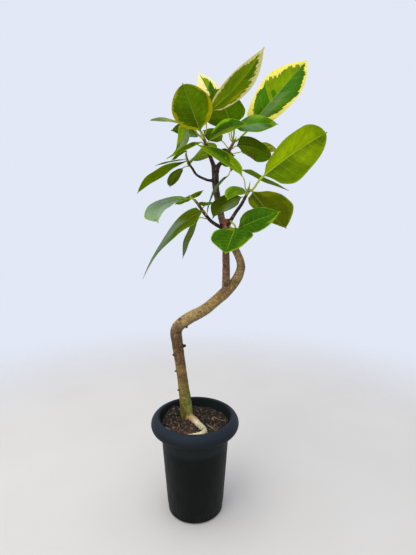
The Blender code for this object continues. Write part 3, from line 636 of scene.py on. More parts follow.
def pot_material():
    """Black moulded plastic: satin body, painted bluish reflections on the rolled rim and the inner wall,
    faint scuffs and dust.
    """
    material, tree, shader = new_material("nursery_pot_plastic")
    place = object_place(tree)
    x, y, z = parts_of(place)
    scuffs = cloud(vector_of(x, y, z * 0.12), 160.0, 4.0, 0.7)
    bands = cloud(vector_of(x * 0.2, y * 0.2, z), 90.0, 3.0, 0.6)
    haze, grain = cloud(place, 22.0, 3.0), cloud(place, 2600.0, 2.0)
    facing = parts_of(node(tree, "NewGeometry", {}, "Normal"))[2]
    reach = length_of(vector_of(x, y, 0.0))
    colour = blend(ramp(haze, 0.35, 0.7, 0.0, 0.6), opaque((14, 17, 16)), opaque((18, 21, 19)))
    # Painted reflection: the rolled rim is painted bluish, lighter where it faces up, as the backdrop's
    # reflection.
    rim = ramp(z, 0.256, 0.262) * ramp(reach, 0.1025, 0.1075)
    painted_rim_reflection = blend(ramp(facing, -0.3, 0.8), opaque((26, 30, 34)), opaque((37, 43, 51)))
    colour = blend(rim, colour, painted_rim_reflection)
    # Painted reflection: the inner wall near the top is painted a lighter bluish grey.
    painted_inner_reflection = ramp(z, 0.20, 0.22) * ramp(reach, 0.1030, 0.1000)
    colour = blend(painted_inner_reflection, colour, opaque((27, 33, 33)))
    dust = ramp(cells(place, 260.0), 0.05, 0.12, 0.3, 0.0) * ramp(haze, 0.5, 0.62)
    dust = dust.math("MAXIMUM", ramp(z, 0.004, 0.040, 0.16, 0.0) * ramp(scuffs, 0.45, 0.65))
    colour = blend(dust, colour, opaque((96, 86, 72)))
    relief = grain * 0.25 + bands
    surface(shader, colour, ramp(scuffs, 0.3, 0.7, 0.46, 0.60), relief, 0.25, 0.0004, 0.08)
    return material


# Leaves


def outline(t, widest, sharpness):
    """Half-width share of a blade at t, 0 at both ends and 1 at its widest."""
    rising = np.sin(0.5 * math.pi * np.clip(t / widest, 0.0, 1.0)) ** 0.66
    falling = np.maximum(np.cos(0.5 * math.pi * np.clip((t - widest) / (1.0 - widest), 0.0, 1.0)), 0.0)
    return np.where(t <= widest, rising, falling**sharpness)


class Leaf:
    """One leaf's numbers in metres and radians, and the curves they describe."""

    def __init__(self, number):
        row = LEAVES[number - 1]
        stem, place, base, tip, facing, width, bow, fold, twist, widest, skew, sharpness, sway, lean = row
        self.base, self.tip = np.array(base) * MM, np.array(tip) * MM
        self.chord = self.tip - self.base
        self.length = np.linalg.norm(self.chord)
        forward, facing = unit(self.chord), np.array(facing, float)
        self.up = unit(facing - forward * facing.dot(forward))
        self.bend = (self.up * bow + np.cross(forward, self.up) * sway) * self.length / 100.0
        self.half, self.lean = width / 2000.0, lean / 100.0
        self.phase = 2.4 * number
        self.fold, self.twist = math.radians(fold), math.radians(twist)
        self.widest, self.skew, self.sharpness = widest / 100.0, skew / 100.0, sharpness / 100.0
        self.axis, direction, self.stem_radius = stem_at(stem, place / 100.0)
        away = self.base - self.axis
        self.away = unit(away - direction * away.dot(direction))
        self.foot = self.axis + self.away * self.stem_radius
        self.stout = min(max(self.half / 0.040, 0.7), 1.3)

    def frame(self, t):
        """Midrib point, forward, sideways and up directions of the blade at t."""
        t = np.asarray(t, float)[..., None]
        point = self.base + self.chord * t + self.bend * 4.0 * t * (1.0 - t)
        along = unit(self.chord + self.bend * 4.0 * (1.0 - 2.0 * t))
        up = unit(self.up - along * np.sum(self.up * along, -1, keepdims=True))
        side = np.cross(along, up)
        turn = self.twist * (t - 0.5)
        turned = side * np.cos(turn) + up * np.sin(turn)
        return point, along, turned, np.cross(turned, along)

    def half_width(self, t, v):
        share = np.where(v > 0, outline(t, self.widest + self.skew, self.sharpness) * (1.0 - self.lean),
                         outline(t, self.widest - self.skew, self.sharpness) * (1.0 + self.lean))
        past = np.clip((t - 1.0) * self.length / NIB_LENGTH, 0.0, 1.0)
        nib = NIB_HALF * np.cos(0.46 * math.pi * past)
        return np.maximum(self.half * np.where(t <= 1.0, share, 0.0), np.where(t > 0.6, nib, LEAST_HALF))

    def wave(self, t, v):
        """Lift of the edges, different on the two halves."""
        turn = 2.0 * math.pi * WAVE_COUNT * t + self.phase + np.where(v > 0, 1.3, 0.0)
        return WAVE_SHARE * self.half * v * v * np.sin(math.pi * np.clip(t, 0.0, 1.0)) * np.sin(turn)

    def stalk(self, t):
        """Points on the stalk, from its foot on the stem to the blade base."""
        t = np.asarray(t, float)[:, None]
        reach = np.linalg.norm(self.base - self.foot)
        bend_a = self.foot + self.away * reach * 0.25
        bend_b = self.base - self.frame(0.0)[1] * reach * 0.35
        s = 1.0 - t
        return self.foot * s**3 + bend_a * (3 * s * s * t) + bend_b * (3 * s * t * t) + self.base * t**3


def blade_rows(leaf):
    """Where each row of the blade leaves the midrib, with the little nib past the tip."""
    rows = [0.014, 0.028]
    for i in range(VEIN_COUNT):
        rows += [VEIN_FIRST + VEIN_STEP * i + offset for offset in ROW_OFFSETS]
    nib = NIB_LENGTH / leaf.length
    return np.array(rows + list(TIP_ROWS) + [1.0 + nib * share for share in (0.4, 0.75, 1.0)])


def blade_surfaces(leaf):
    """Top and bottom sheets as grids of points, with each point's place on the blade."""
    columns = np.array([-v for v in HALF_COLUMNS[:0:-1]] + list(HALF_COLUMNS))
    s, v = np.meshgrid(blade_rows(leaf), columns, indexing="ij")
    out = np.abs(v)
    lean = np.sin(math.pi * np.clip(s, 0.0, 1.0)) * (VEIN_LEAN * out + VEIN_CURVE * out**2)
    t = s + lean * np.where(v > 0, 1.08, 0.94)
    point, _, side, up = leaf.frame(t)
    flat = np.minimum(t / NECK, 1.0)
    width = leaf.half_width(t, v)
    reach = v * width * flat
    steps = (s - VEIN_FIRST) / VEIN_STEP
    near = steps - np.round(steps)
    in_range = smoothstep(-0.5, 0.0, steps) * smoothstep(VEIN_COUNT + 0.4, VEIN_COUNT - 0.6, steps)
    puff = QUILT * np.sin(math.pi * out**0.8) * (0.5 - 0.5 * np.cos(2.0 * math.pi * near)) * in_range
    dome = DOME * width * np.sin(math.pi * out) * flat
    curl = CURL * smoothstep(CURL_FROM, 1.0, out) * flat * np.minimum(width / leaf.half, 1.0)
    lift = np.abs(reach) * math.sin(leaf.fold) + leaf.wave(t, v) + dome + puff - curl
    top = point + side * (reach * math.cos(leaf.fold))[..., None] + up * lift[..., None]
    thick = EDGE_THICK + (BLADE_THICK - EDGE_THICK) * (1.0 - out**3)
    fade = np.sqrt(1.0 - np.minimum(out / RIDGE_REACH, 1.0)) * in_range
    ridge = RIDGE * np.exp(-((near * VEIN_STEP / RIDGE_HALF) ** 2)) * fade
    bottom = top - up * (thick + ridge)[..., None]
    edge = (1.0 - out) * width / leaf.half
    return top, bottom, s, v, edge


def slab(top, bottom):
    """Closed shape between two matching grids of points."""
    rows, across = top.shape[:2]
    sheet = rows * across
    verts = np.vstack([top.reshape(-1, 3), bottom.reshape(-1, 3)])
    faces = []
    for i in range(rows - 1):
        for j in range(across - 1):
            a = i * across + j
            b, c, d = a + 1, a + across + 1, a + across
            faces += [(a, b, c, d), (d + sheet, c + sheet, b + sheet, a + sheet)]
        left, right = i * across, i * across + across - 1
        faces.append((left, left + across, left + across + sheet, left + sheet))
        faces.append((right + across, right, right + sheet, right + across + sheet))
    for j in range(across - 1):
        end = sheet - across + j
        faces += [(j + 1, j, j + sheet, j + 1 + sheet), (end, end + 1, end + 1 + sheet, end + sheet)]
    return verts, faces


def stalk_and_midrib(leaf):
    """One tapering tube: the stalk, then the midrib under the blade."""
    places = np.linspace(0.0, 1.0, STALK_POINTS)
    ribs = np.linspace(0.03, 0.975, RIB_POINTS)
    rib_radius = (RIB_RADIUS * (1.0 - ribs) + RIB_END_RADIUS) * leaf.stout
    point, _, _, up = leaf.frame(ribs)
    rib_line = point + up * (MIDRIB_PROUD - rib_radius)[:, None]
    start_radius = (RIB_RADIUS + RIB_END_RADIUS) * leaf.stout
    sunk = leaf.frame(0.0)[3] * (MIDRIB_PROUD - start_radius)
    stalk_line = leaf.stalk(places) + smoothstep(0.55, 1.0, places)[:, None] * sunk
    swollen = 1.0 + 0.55 * np.exp(-places / 0.09) + 0.12 * smoothstep(0.7, 1.0, places)
    stalk_radius = STALK_RADIUS * leaf.stout * swollen
    inside = leaf.axis + leaf.away * leaf.stem_radius * 0.3
    line = np.vstack([inside, stalk_line, rib_line])
    radii = np.concatenate([[stalk_radius[0]], stalk_radius, rib_radius])
    radii[len(places)] = start_radius
    return tube(line, radii, STALK_SIDES)


def stalk_tones(under, veins):
    """Colours on the tube: browner at the foot, and along the midrib nearer to the blade's."""
    fading = 1.0 - smoothstep(0.0, 0.4, np.linspace(0.0, 1.0, STALK_POINTS))
    foot = np.concatenate([[0.7], 0.7 * fading, np.zeros(RIB_POINTS)])
    rib = np.repeat((0.1, 0.85 - 0.4 * veins), (STALK_POINTS + 1, RIB_POINTS))
    foot, rib = (np.repeat(share, STALK_SIDES)[:, None] for share in (foot, rib))
    return mixed(mixed(linear("stalk"), under, rib), linear("stalk_foot"), foot)


def field_share(s, v, half, first, last, near, far, edge):
    """How far each place lies inside a field, 0 to 1, over an edge so wide."""
    first, last, near, far = (place / 100.0 for place in (first, last, near, far))
    out, rim = np.abs(v), 0.5 * edge
    within = smoothstep(first - rim, first + rim, s) * smoothstep(last + rim, last - rim, s)
    within = within * smoothstep(near - edge, near + edge, out) * smoothstep(far + edge, far - edge, out)
    return np.where(v * half >= 0, within, 0.0)


def blade_tones(number, s, v, tones):
    """Linear colour of each place on one face: its half's green, then the soft fields."""
    left, right = (tones, tones) if isinstance(tones, str) else tones
    colour = np.where((v > 0)[..., None], linear(right), linear(left))
    for *place, tone, strength in SHADES.get(number, []):
        share = strength / 100.0 * field_share(s, v, *place, SHADE_EDGE)[..., None]
        colour = mixed(colour, linear(tone), share)
    return colour.reshape(-1, 3)


def build_leaf(number, materials):
    leaf = Leaf(number)
    tops, unders, second_tone, margin_top, margin_under, *rest = LEAF_LOOKS[number - 1]
    left_margin, right_margin, second_shares, veins = rest
    top, bottom, s, v, edge = blade_surfaces(leaf)
    rib_verts, rib_faces = stalk_and_midrib(leaf)
    blade_verts, blade_faces = slab(top, bottom)
    verts, faces = join([(blade_verts, blade_faces), (rib_verts, rib_faces)])
    node_name = f"leaf_{number:02d}"
    obj = add_piece(node_name + "_fine", verts, faces, materials, "leaf_green", [node_name])
    material_of = np.zeros(len(faces), np.int32)
    material_of[len(blade_faces):] = 1
    obj.data.polygons.foreach_set("material_index", material_of)

    def store(name, on_top, below, on_rib=(0, 0, 0)):
        """Paints the top sheet, the bottom sheet and the stalk, in the order of their vertices."""
        shares = ((on_top, s.size), (below, s.size), (on_rib, len(rib_verts)))
        paint(obj, name, np.vstack([np.broadcast_to(values, (count, 3)) for values, count in shares]))

    def by_half(pair):
        left, right = np.broadcast_to(pair, 2) / 100.0
        return np.where(v > 0, right, left)

    left, right = (np.interp(s, MARGIN_STATIONS, np.broadcast_to(widths, len(MARGIN_STATIONS)))
                   for widths in (left_margin, right_margin))
    margin = np.where(v > 0, right, left) / 100.0
    second, painted_sheen = by_half(second_shares), np.zeros_like(s)
    for place in FIELDS.get(number, []):
        second = np.maximum(second, field_share(s, v, *place, FIELD_EDGE))
    # Painted sheen, a reflection painted into the colour, from its table of fields.
    for *place, strength in PAINTED_SHEENS.get(number, []):
        painted_sheen = np.maximum(painted_sheen, strength / 100.0 * field_share(s, v, *place, SHADE_EDGE))
    place, look, side = (np.stack(three, -1).reshape(-1, 3) for three in (
        (s, v, edge), (margin, second, painted_sheen),
        (np.zeros_like(s), np.full_like(s, SEED_STEP * number), by_half(veins))))
    store("blade_place", place, place, (0, 0, 1))
    store("blade_look", look, look)
    store("blade_side", side, side + (1, 0, 0), (1, 0, 0))
    under_tones = blade_tones(number, s, v, unders)
    under = under_tones.mean(0)
    store("blade_tone", blade_tones(number, s, v, tops), under_tones)
    store("blade_second", linear(second_tone), mixed(linear(second_tone), under, 0.2))
    store("blade_margin", linear(margin_top), linear(margin_under))
    store("tone", (0, 0, 0), (0, 0, 0), stalk_tones(under, np.broadcast_to(veins, 2)[0] / 100.0))


def build_bud(name, material):
    """Pointed bud in its furled sheath."""
    stem, place, way, length, radius = BUDS[name]
    axis, direction, stem_radius = stem_at(stem, place)
    way = unit(np.array(way, float))
    if place < 1.0:
        away = unit(way - direction * way.dot(direction))
        start = axis + away * stem_radius * 0.6
    else:
        away, start = direction, axis - direction * 0.001
    t = np.linspace(0.0, 1.0, BUD_POINTS)[:, None]
    bend = start + away * length * 0.35
    end = start + away * length * 0.3 + way * length * 0.72
    line = start * (1 - t) ** 2 + bend * 2 * t * (1 - t) + end * t**2
    belly = 0.95 + 0.35 * np.sin(math.pi * np.minimum(t * 2.2, 1.0))
    profile = radius * belly * (1.0 - t**2.2) ** 0.8 + 0.0001
    verts, faces = tube(line, profile[:, 0], BUD_SIDES)
    verts = verts.reshape(BUD_POINTS, BUD_SIDES, 3)
    turns = 2 * math.pi * np.arange(BUD_SIDES) / BUD_SIDES
    furl = 1.0 + 0.10 * np.sin(turns[None, :] + 4.0 * t)
    verts = line[:, None, :] + (verts - line[:, None, :]) * furl[..., None]
    obj = add_piece(name + "_fine", verts.reshape(-1, 3), faces, [material], "bud_green", [name])
    share = np.repeat(smoothstep(0.0, 0.35, t[:, 0]), BUD_SIDES)[:, None]
    paint(obj, "tone", mixed(linear((120, 110, 40)), linear((150, 176, 60)), share))


# Trunk, branches and root

BARK_VOXEL = 0.0012
# How much wider a branch is at its foot, and over what length.
COLLAR, COLLAR_LENGTH = 0.45, 0.006
RING_GAP = {"trunk": 0.021, "red_stem": 0.017, "root": 0.030}
TWIG_RING_GAP = 0.009
# Heights between which the trunk's rings crowd into wrinkles, and their gap as a share.
WRINKLED, WRINKLED_GAP = (0.445, 0.545), 0.28
# Bark colours: the trunk's and the red stem's by height above the floor, the twigs' and the
# root's by share of their length.
TRUNK_TONES = [
    (0.25, (92, 82, 30)), (0.31, (110, 98, 36)), (0.37, (126, 104, 50)), (0.42, (126, 98, 52)),
    (0.465, (102, 74, 42)), (0.50, (86, 61, 35)), (0.535, (102, 75, 44)), (0.56, (138, 114, 72)),
    (0.60, (150, 124, 74)), (0.64, (138, 106, 62)), (0.70, (136, 112, 68)), (0.74, (128, 104, 66)),
    (0.80, (112, 88, 60)), (0.87, (108, 88, 68)), (0.905, (96, 78, 60)), (0.93, (60, 46, 34)),
    (1.0, (44, 33, 24)),
]
TWIG_TONES = [
    (0.0, (52, 38, 28)), (0.5, (50, 36, 24)), (0.78, (92, 62, 34)), (0.9, (110, 96, 40)),
    (1.0, (120, 136, 36)),
]
RED_TONES = [
    (0.66, (122, 92, 60)), (0.70, (116, 80, 54)), (0.76, (104, 68, 46)), (0.82, (120, 64, 36)),
    (0.85, (122, 62, 34)),
]
ROOT_TONES = [
    (0.0, (150, 112, 66)), (0.10, (172, 134, 88)), (0.22, (206, 190, 152)), (1.0, (214, 202, 166)),
]
SAWN_WOOD = (204, 168, 116)
GREEN_BARK, GREEN_BELOW = (136, 148, 62), 0.37
# Direction of the painted light: bark facing it is painted lighter, bark facing away painted darker.
PAINTED_LIGHT_SIDE = unit(np.array((-0.55, -0.25, 0.8)))
# Old scars: middle on the bark, reach across and along the stem.
SCARS = [((0.014, -0.016, 0.597), 0.0030, 0.0062), ((-0.057, -0.008, 0.550), 0.0026, 0.0026),
         ((-0.046, 0.008, 0.416), 0.0030, 0.0024), ((0.085, -0.023, 0.668), 0.0026, 0.0026),
         ((-0.035, 0.020, 0.390), 0.0022, 0.0018), ((0.110, -0.012, 0.690), 0.0020, 0.0030)]
# The knob whose end has healed over, so it isn't dark like the others.
HEALED_KNOB = 6
# Relief of the bark: half-width of a ring line, how far its groove lies from it, the
# groove's half-width, and how much each kind of unevenness lifts or sinks the bark.
RING_HALF, GROOVE_OFF, GROOVE_HALF = 0.0013, 0.0022, 0.0011
RING_LIFT, GROOVE_DEPTH, LUMP_LIFT, WRINKLE_LIFT = 0.00048, 0.00036, 0.00060, 0.00032
LIP_LIFT, SCAR_DEPTH = 0.0004, 0.0005
# Distance from a knob's end where its dark cut starts, and where it's darkest.
CUT_EDGE, CUT_CORE = 0.0095, 0.004


def tone_along(marks, place):
    """Display colour between the two nearest marks."""
    places = [mark[0] for mark in marks]
    return tuple(np.interp(place, places, [mark[1][k] for mark in marks]) for k in range(3))


def bark_tone(stem, height, share):
    """Bark colour by stem, height above the floor and share of the way along."""
    if stem == "root":
        return tone_along(ROOT_TONES, share)
    if stem == "red_stem":
        return tone_along(RED_TONES, height)
    if stem == "trunk":
        return tone_along(TRUNK_TONES, height)
    return tone_along(TWIG_TONES, share * 0.6 if stem == "hanging" else share)


def remeshed(shapes):
    """Joined shapes as one even skin, lightly smoothed, as vertices and faces."""
    skin = new_object("skin", *join(shapes))
    remesh = skin.modifiers.new("remesh", "REMESH")
    remesh.mode, remesh.voxel_size = "VOXEL", BARK_VOXEL
    smooth = skin.modifiers.new("smooth", "SMOOTH")
    smooth.factor, smooth.iterations = 0.5, 4
    shape = skin.evaluated_get(bpy.context.evaluated_depsgraph_get()).to_mesh()
    verts = np.zeros(len(shape.vertices) * 3)
    shape.vertices.foreach_get("co", verts)
    faces = [tuple(p.vertices) for p in shape.polygons]
    bpy.data.objects.remove(skin, do_unlink=True)
    return verts.reshape(-1, 3), faces


def build_wood(material):
    rng = random.Random(5)
    shapes, samples = [], []
    for name, rows in STEMS.items():
        line = smooth_line(rows, 0.003)
        distance = np.concatenate([[0.0], np.cumsum(np.linalg.norm(np.diff(line[:, :3], axis=0), axis=1))])
        radii = line[:, 3].copy()
        if name not in ("trunk", "root"):
            radii *= 1.0 + COLLAR * np.exp(-distance / COLLAR_LENGTH)
        sides = 40 if name == "trunk" else 24
        shapes.append(tube(line[:, :3], radii, sides))
        gap, rings, at = RING_GAP.get(name, TWIG_RING_GAP), [], 0.004
        while at < distance[-1]:
            rings.append(at)
            wrinkled = name == "trunk" and WRINKLED[0] < np.interp(at, distance, line[:, 2]) < WRINKLED[1]
            at += gap * rng.uniform(0.55, 1.4) * (WRINKLED_GAP if wrinkled else 1.0)
        for i, row in enumerate(line):
            ahead = line[min(i + 1, len(line) - 1), :3] - line[max(i - 1, 0), :3]
            share = distance[i] / distance[-1]
            samples.append((name, row[:3], unit(ahead), row[3], distance[i], share, rings))
    for spot, way, length, radius in KNOBS:
        spot, way = np.array(spot), unit(np.array(way, float))
        steps = np.array([0.0, 0.35, 0.55, 0.72, 0.86, 0.95, 1.0])
        swell = np.array([1.7, 1.55, 1.25, 1.0, 0.92, 0.8, 0.55])
        shapes.append(tube(spot + steps[:, None] * way * length, radius * swell * 0.9, 16))
    verts, faces = remeshed(shapes)

    tree = KDTree(len(samples))
    for i, sample in enumerate(samples):
        tree.insert(Vector(sample[1]), i)
    tree.balance()
    tips = [np.array(spot) + unit(np.array(way, float)) * length
            for i, (spot, way, length, _) in enumerate(KNOBS) if i != HEALED_KNOB]
    sawn = np.array(STEMS["red_stem"][-1][:3])
    places, tones = np.zeros_like(verts), np.zeros_like(verts)
    for i, vert in enumerate(verts):
        name, centre, along, radius, distance, share, rings = samples[tree.find(Vector(vert))[1]]
        offset = vert - centre
        at = distance + offset.dot(along)
        radial = offset - along * offset.dot(along)
        reach = np.linalg.norm(radial)
        outward = radial / max(reach, 1e-6)
        spot = Vector(vert)
        near = min((abs(at - ring), at - ring) for ring in rings)[1]
        stout = min(1.0, radius / 0.012)
        broken = 0.5 + 0.5 * noise.noise(spot * 90.0)
        ring = math.exp(-((near / RING_HALF) ** 2)) * (0.35 + 0.65 * broken)
        groove = math.exp(-(((near - GROOVE_OFF) / GROOVE_HALF) ** 2)) * (0.35 + 0.65 * broken)
        lump = noise.noise(spot * 55.0 + Vector((3, 0, 7)))
        wrinkle = noise.noise(Vector((spot.x * 420, spot.y * 420, spot.z * 90)))
        lift = stout * (RING_LIFT * ring - GROOVE_DEPTH * groove + LUMP_LIFT * lump
                        + WRINKLE_LIFT * wrinkle)
        scar, lip = 0.0, 0.0
        for middle, across, lengthwise in SCARS:
            apart = vert - np.array(middle)
            down = apart.dot(along)
            away = math.hypot(down / lengthwise, np.linalg.norm(apart - along * down) / across)
            scar = max(scar, float(smoothstep(1.0, 0.6, away)))
            lip = max(lip, math.exp(-(((away - 1.3) / 0.3) ** 2)))
        lift += LIP_LIFT * lip - SCAR_DEPTH * scar
        verts[i] = vert + outward * lift
        places[i] = (*(radial[:2] + 0.3 * radial[2]), at)
        tone = np.array(linear(bark_tone(name, vert[2], share)))
        if name == "trunk":
            low_down = smoothstep(GREEN_BELOW, GREEN_BELOW - 0.07, vert[2])
            tone = mixed(tone, linear(GREEN_BARK), float(low_down * smoothstep(-0.3, 0.7, outward[0])))
        tone = tone * (1.0 + 0.45 * noise.noise(spot * 34.0) + 0.45 * noise.noise(spot * 150.0) + 0.2 * lump)
        # Painted light and shade: bark facing up, left and front is lighter and the far side darker. The bark
        # is also darker in its ring grooves and lighter on the raised rings.
        tone = tone * (1.0 - 0.55 * groove) * (1.0 + 0.30 * ring) * (1.0 + 0.34 * outward.dot(PAINTED_LIGHT_SIDE))
        tone = tone * (1.0 - 0.8 * scar) * (1.0 + 0.4 * lip)
        cut = min(np.linalg.norm(vert - tip) for tip in tips)
        tone = tone * (1.0 - 0.72 * float(smoothstep(CUT_EDGE, CUT_CORE, cut)))
        if name == "red_stem" and vert[2] > sawn[2] - 0.0012 and reach < radius * 0.93:
            tone = np.array(linear(SAWN_WOOD)) * (1.0 + 0.4 * noise.noise(spot * 300.0))
        tones[i] = np.clip(tone, 0.004, 1.0)
    obj = add_piece("trunk_and_branches", verts, faces, [material], "bark", ["wood"])
    paint(obj, "bark_place", places)
    paint(obj, "tone", tones)


# Potting mix

SOIL_TOP, SOIL_BUMP, SOIL_REACH = 0.2640, 0.0024, 0.0964
SOIL_PLUG = [(0.0964, 0.2590), (0.0941, 0.2450), (0.0772, 0.0095), (0.0748, 0.0069), (0.0, 0.0069)]
HEAP, HEAP_RISE, HEAP_REACH = (-0.075, 0.063), 0.015, 0.060
SOIL_SIDES, SOIL_RING_COUNT = 220, 72


def soil_height(x, y):
    """Bumpy level of the soil at one spot."""
    coarse = noise.noise(Vector((x * 45.0, y * 45.0, 1.7)))
    fine = noise.noise(Vector((x * 130.0, y * 130.0, 5.1)))
    near = max(1.0 - math.dist((x, y), HEAP) / HEAP_REACH, 0.0)
    return SOIL_TOP + SOIL_BUMP * (coarse + 0.8 * fine) + HEAP_RISE * near * near * (3.0 - 2.0 * near)


def build_soil_bed(material):
    verts, faces, tones = [(0.0, 0.0, soil_height(0.0, 0.0))], [], []
    radii = [SOIL_REACH * (i + 1) / SOIL_RING_COUNT for i in range(SOIL_RING_COUNT)]
    turns = [2.0 * math.pi * k / SOIL_SIDES for k in range(SOIL_SIDES)]
    for radius in radii:
        for turn in turns:
            x, y = radius * math.cos(turn), radius * math.sin(turn)
            crumbs = abs(noise.noise(Vector((x * 420.0, y * 420.0, 2.2))))
            crumbs += 0.5 * noise.noise(Vector((x * 900.0, y * 900.0, 4.4)))
            verts.append((x, y, soil_height(x, y) + 0.0022 * crumbs - 0.0012))
    for radius, height in SOIL_PLUG[:-1]:
        for turn in turns:
            verts.append((radius * math.cos(turn), radius * math.sin(turn), height))
    verts.append((0.0, 0.0, SOIL_PLUG[-1][1]))
    rings = SOIL_RING_COUNT + len(SOIL_PLUG) - 1
    for k in range(SOIL_SIDES):
        after = (k + 1) % SOIL_SIDES
        faces.append((0, 1 + k, 1 + after))
        for i in range(rings - 1):
            a = 1 + i * SOIL_SIDES
            faces.append((a + k, a + SOIL_SIDES + k, a + SOIL_SIDES + after, a + after))
        a = 1 + (rings - 1) * SOIL_SIDES
        faces.append((a + after, a + k, len(verts) - 1))
    low, high = linear((20, 15, 10)), linear((58, 43, 26))
    for x, y, _ in verts:
        share = 0.5 + 0.9 * noise.noise(Vector((x * 260.0, y * 260.0, 9.0)))
        tones.append(mixed(low, high, min(max(share, 0.0), 1.0)))
    obj = add_piece("soil_bed", verts, faces, [material], "soil", ["soil"])
    paint(obj, "tone", tones)


# Colours of the loose bits, each with how often it comes.
DARK_CHIPS = [
    ((50, 38, 24), 7), ((34, 26, 16), 9), ((22, 17, 11), 8), ((84, 64, 42), 4), ((126, 100, 66), 2),
]
RED_CHIPS = [((98, 60, 42), 4), ((116, 76, 54), 3), ((58, 38, 26), 5), ((144, 108, 78), 1)]
PUMICE_TONES = [((178, 166, 140), 1), ((146, 128, 98), 3), ((116, 98, 72), 3)]
# Where the reddish chips lie: middle and reach of the patch at the front left.
RED_PATCH, RED_REACH = (-0.034, -0.046), 0.046


BOX_CORNERS = [(dx, dy, dz) for dz in (-0.5, 0.5)
               for dx, dy in ((-0.5, -0.5), (0.5, -0.5), (0.5, 0.5), (-0.5, 0.5))]
BOX_FACES = [(3, 2, 1, 0), (4, 5, 6, 7), (0, 1, 5, 4), (1, 2, 6, 5), (2, 3, 7, 6), (3, 0, 4, 7)]
# How far out loose bits lie, and how far out one may reach, just short of the pot's wall.
CHIP_SPREAD, CHIP_REACH = 0.095, 0.0962
CHIP_TILT = 0.7
TWIG_POINTS, TWIG_SIDES = 9, 7


def clear_of_stems(x, y, margin):
    """True where a chip would neither hide the root nor stand in the trunk."""
    rows = STEMS["root"]
    for row in rows[1:] + STEMS["trunk"][:2]:
        if math.hypot(x - row[0], y - row[1]) < row[3] + margin:
            return False
    for a, b in zip(rows, rows[1:]):
        start, way = np.array(a[:2]), np.array(b[:2]) - np.array(a[:2])
        share = min(max(np.dot((x, y) - start, way) / np.dot(way, way), 0.0), 1.0)
        gap = np.linalg.norm((x, y) - (start + way * share))
        if gap < a[3] + (b[3] - a[3]) * share + margin:
            return False
    return True


def chip_shape(rng, size, centre):
    """Jagged little block, turned and tilted."""
    jitters = [[1.0 + rng.uniform(-0.34, 0.30) for _ in range(3)] for _ in BOX_CORNERS]
    spin = rng.uniform(0, 2 * math.pi)
    lean, roll = rng.uniform(-CHIP_TILT, CHIP_TILT), rng.uniform(-CHIP_TILT, CHIP_TILT)
    turn = np.array(Euler((roll, lean, spin)).to_matrix())
    return np.array(BOX_CORNERS) * size * jitters @ turn.T + centre, BOX_FACES


def scatter(name, seed, count, sizes, tones, margin, material):
    """Chips of one kind strewn over the soil, each with a colour of its own."""
    rng = random.Random(seed)
    palette = [tone for tone, share in tones for _ in range(share)]
    shapes, colours = [], []
    while len(shapes) < count:
        reach, turn = CHIP_SPREAD * math.sqrt(rng.random()), rng.uniform(0, 2 * math.pi)
        x, y = reach * math.cos(turn), reach * math.sin(turn)
        length = rng.uniform(*sizes[0])
        if math.hypot(x, y) + length / 2 > CHIP_REACH:
            continue
        if not clear_of_stems(x, y, margin + length * 0.3):
            continue
        if tones is RED_CHIPS and math.dist((x, y), RED_PATCH) > RED_REACH * rng.uniform(0.4, 1.0):
            continue
        size = (length, length * rng.uniform(*sizes[1]), length * rng.uniform(*sizes[2]))
        centre = (x, y, soil_height(x, y) + rng.uniform(-0.0006, 0.0016))
        shapes.append(chip_shape(rng, size, centre))
        dim = rng.uniform(0.75, 1.2)
        colour = np.clip(np.array(linear(rng.choice(palette))) * dim, 0, 1)
        colours.append(np.tile(colour, (len(BOX_CORNERS), 1)))
    verts, faces = join(shapes)
    obj = add_piece(name, verts, faces, [material], "soil")
    obj.data.polygons.foreach_set("use_smooth", [False] * len(obj.data.polygons))
    paint(obj, "tone", np.vstack(colours))


def build_soil(material, chip_material):
    """Soil bed, loose bits (length, and width and height as shares of it) and small twigs."""
    build_soil_bed(material)
    chips = ((0.0035, 0.0085), (0.45, 0.8), (0.25, 0.5))
    crumbs = ((0.0016, 0.0036), (0.5, 0.95), (0.4, 0.8))
    grit = ((0.0020, 0.0050), (0.7, 1.0), (0.6, 0.9))
    scatter("bark_chips", 21, 1700, chips, DARK_CHIPS, 0.001, chip_material)
    scatter("red_chips", 24, 300, chips, RED_CHIPS, 0.001, chip_material)
    scatter("fine_crumbs", 22, 3000, crumbs, DARK_CHIPS, 0.0, chip_material)
    scatter("pumice_bits", 23, 60, grit, PUMICE_TONES, 0.002, chip_material)
    twigs = [((0.036, -0.014), (0.060, -0.050), 0.0011), ((0.044, -0.020), (0.064, -0.040), 0.0006),
             ((-0.060, -0.030), (-0.030, -0.046), 0.0008), ((0.052, 0.030), (0.080, 0.004), 0.0008)]
    shapes = []
    for (x0, y0), (x1, y1), radius in twigs:
        line = []
        for k in range(TWIG_POINTS):
            share = k / (TWIG_POINTS - 1)
            x, y = x0 + (x1 - x0) * share, y0 + (y1 - y0) * share
            line.append((x, y, soil_height(x, y) + 0.0030 + 0.0008 * math.sin(2.6 * k)))
        radii = [radius * (1.0 - 0.06 * k) for k in range(TWIG_POINTS)]
        shapes.append(tube(line, radii, TWIG_SIDES))
    verts, faces = join(shapes)
    obj = add_piece("soil_twigs", verts, faces, [chip_material], "soil")
    paint(obj, "tone", np.tile(linear((168, 140, 100)), (len(verts), 1)))


# Pot

# The wall in section, radius and height, from the middle of the foot out, up and back in.
POT_WALL = [
    (0.0000, 0.0000), (0.0180, 0.0000), (0.0200, 0.0030), (0.0660, 0.0030), (0.0680, 0.0000),
    (0.0745, 0.0000), (0.0792, 0.0050), (0.0802, 0.0230), (0.0818, 0.0260), (0.0968, 0.2450),
    (0.0995, 0.2640), (0.1030, 0.2800), (0.1095, 0.2855), (0.1175, 0.2805), (0.1219, 0.2690),
    (0.1185, 0.2580), (0.1205, 0.2565), (0.1240, 0.2630), (0.1249, 0.2700), (0.1225, 0.2790),
    (0.1160, 0.2875), (0.1085, 0.2905), (0.1030, 0.2895), (0.1005, 0.2865), (0.0975, 0.2640),
    (0.0945, 0.2450),
    (0.0776, 0.0090), (0.0750, 0.0065), (0.0000, 0.0065),
]
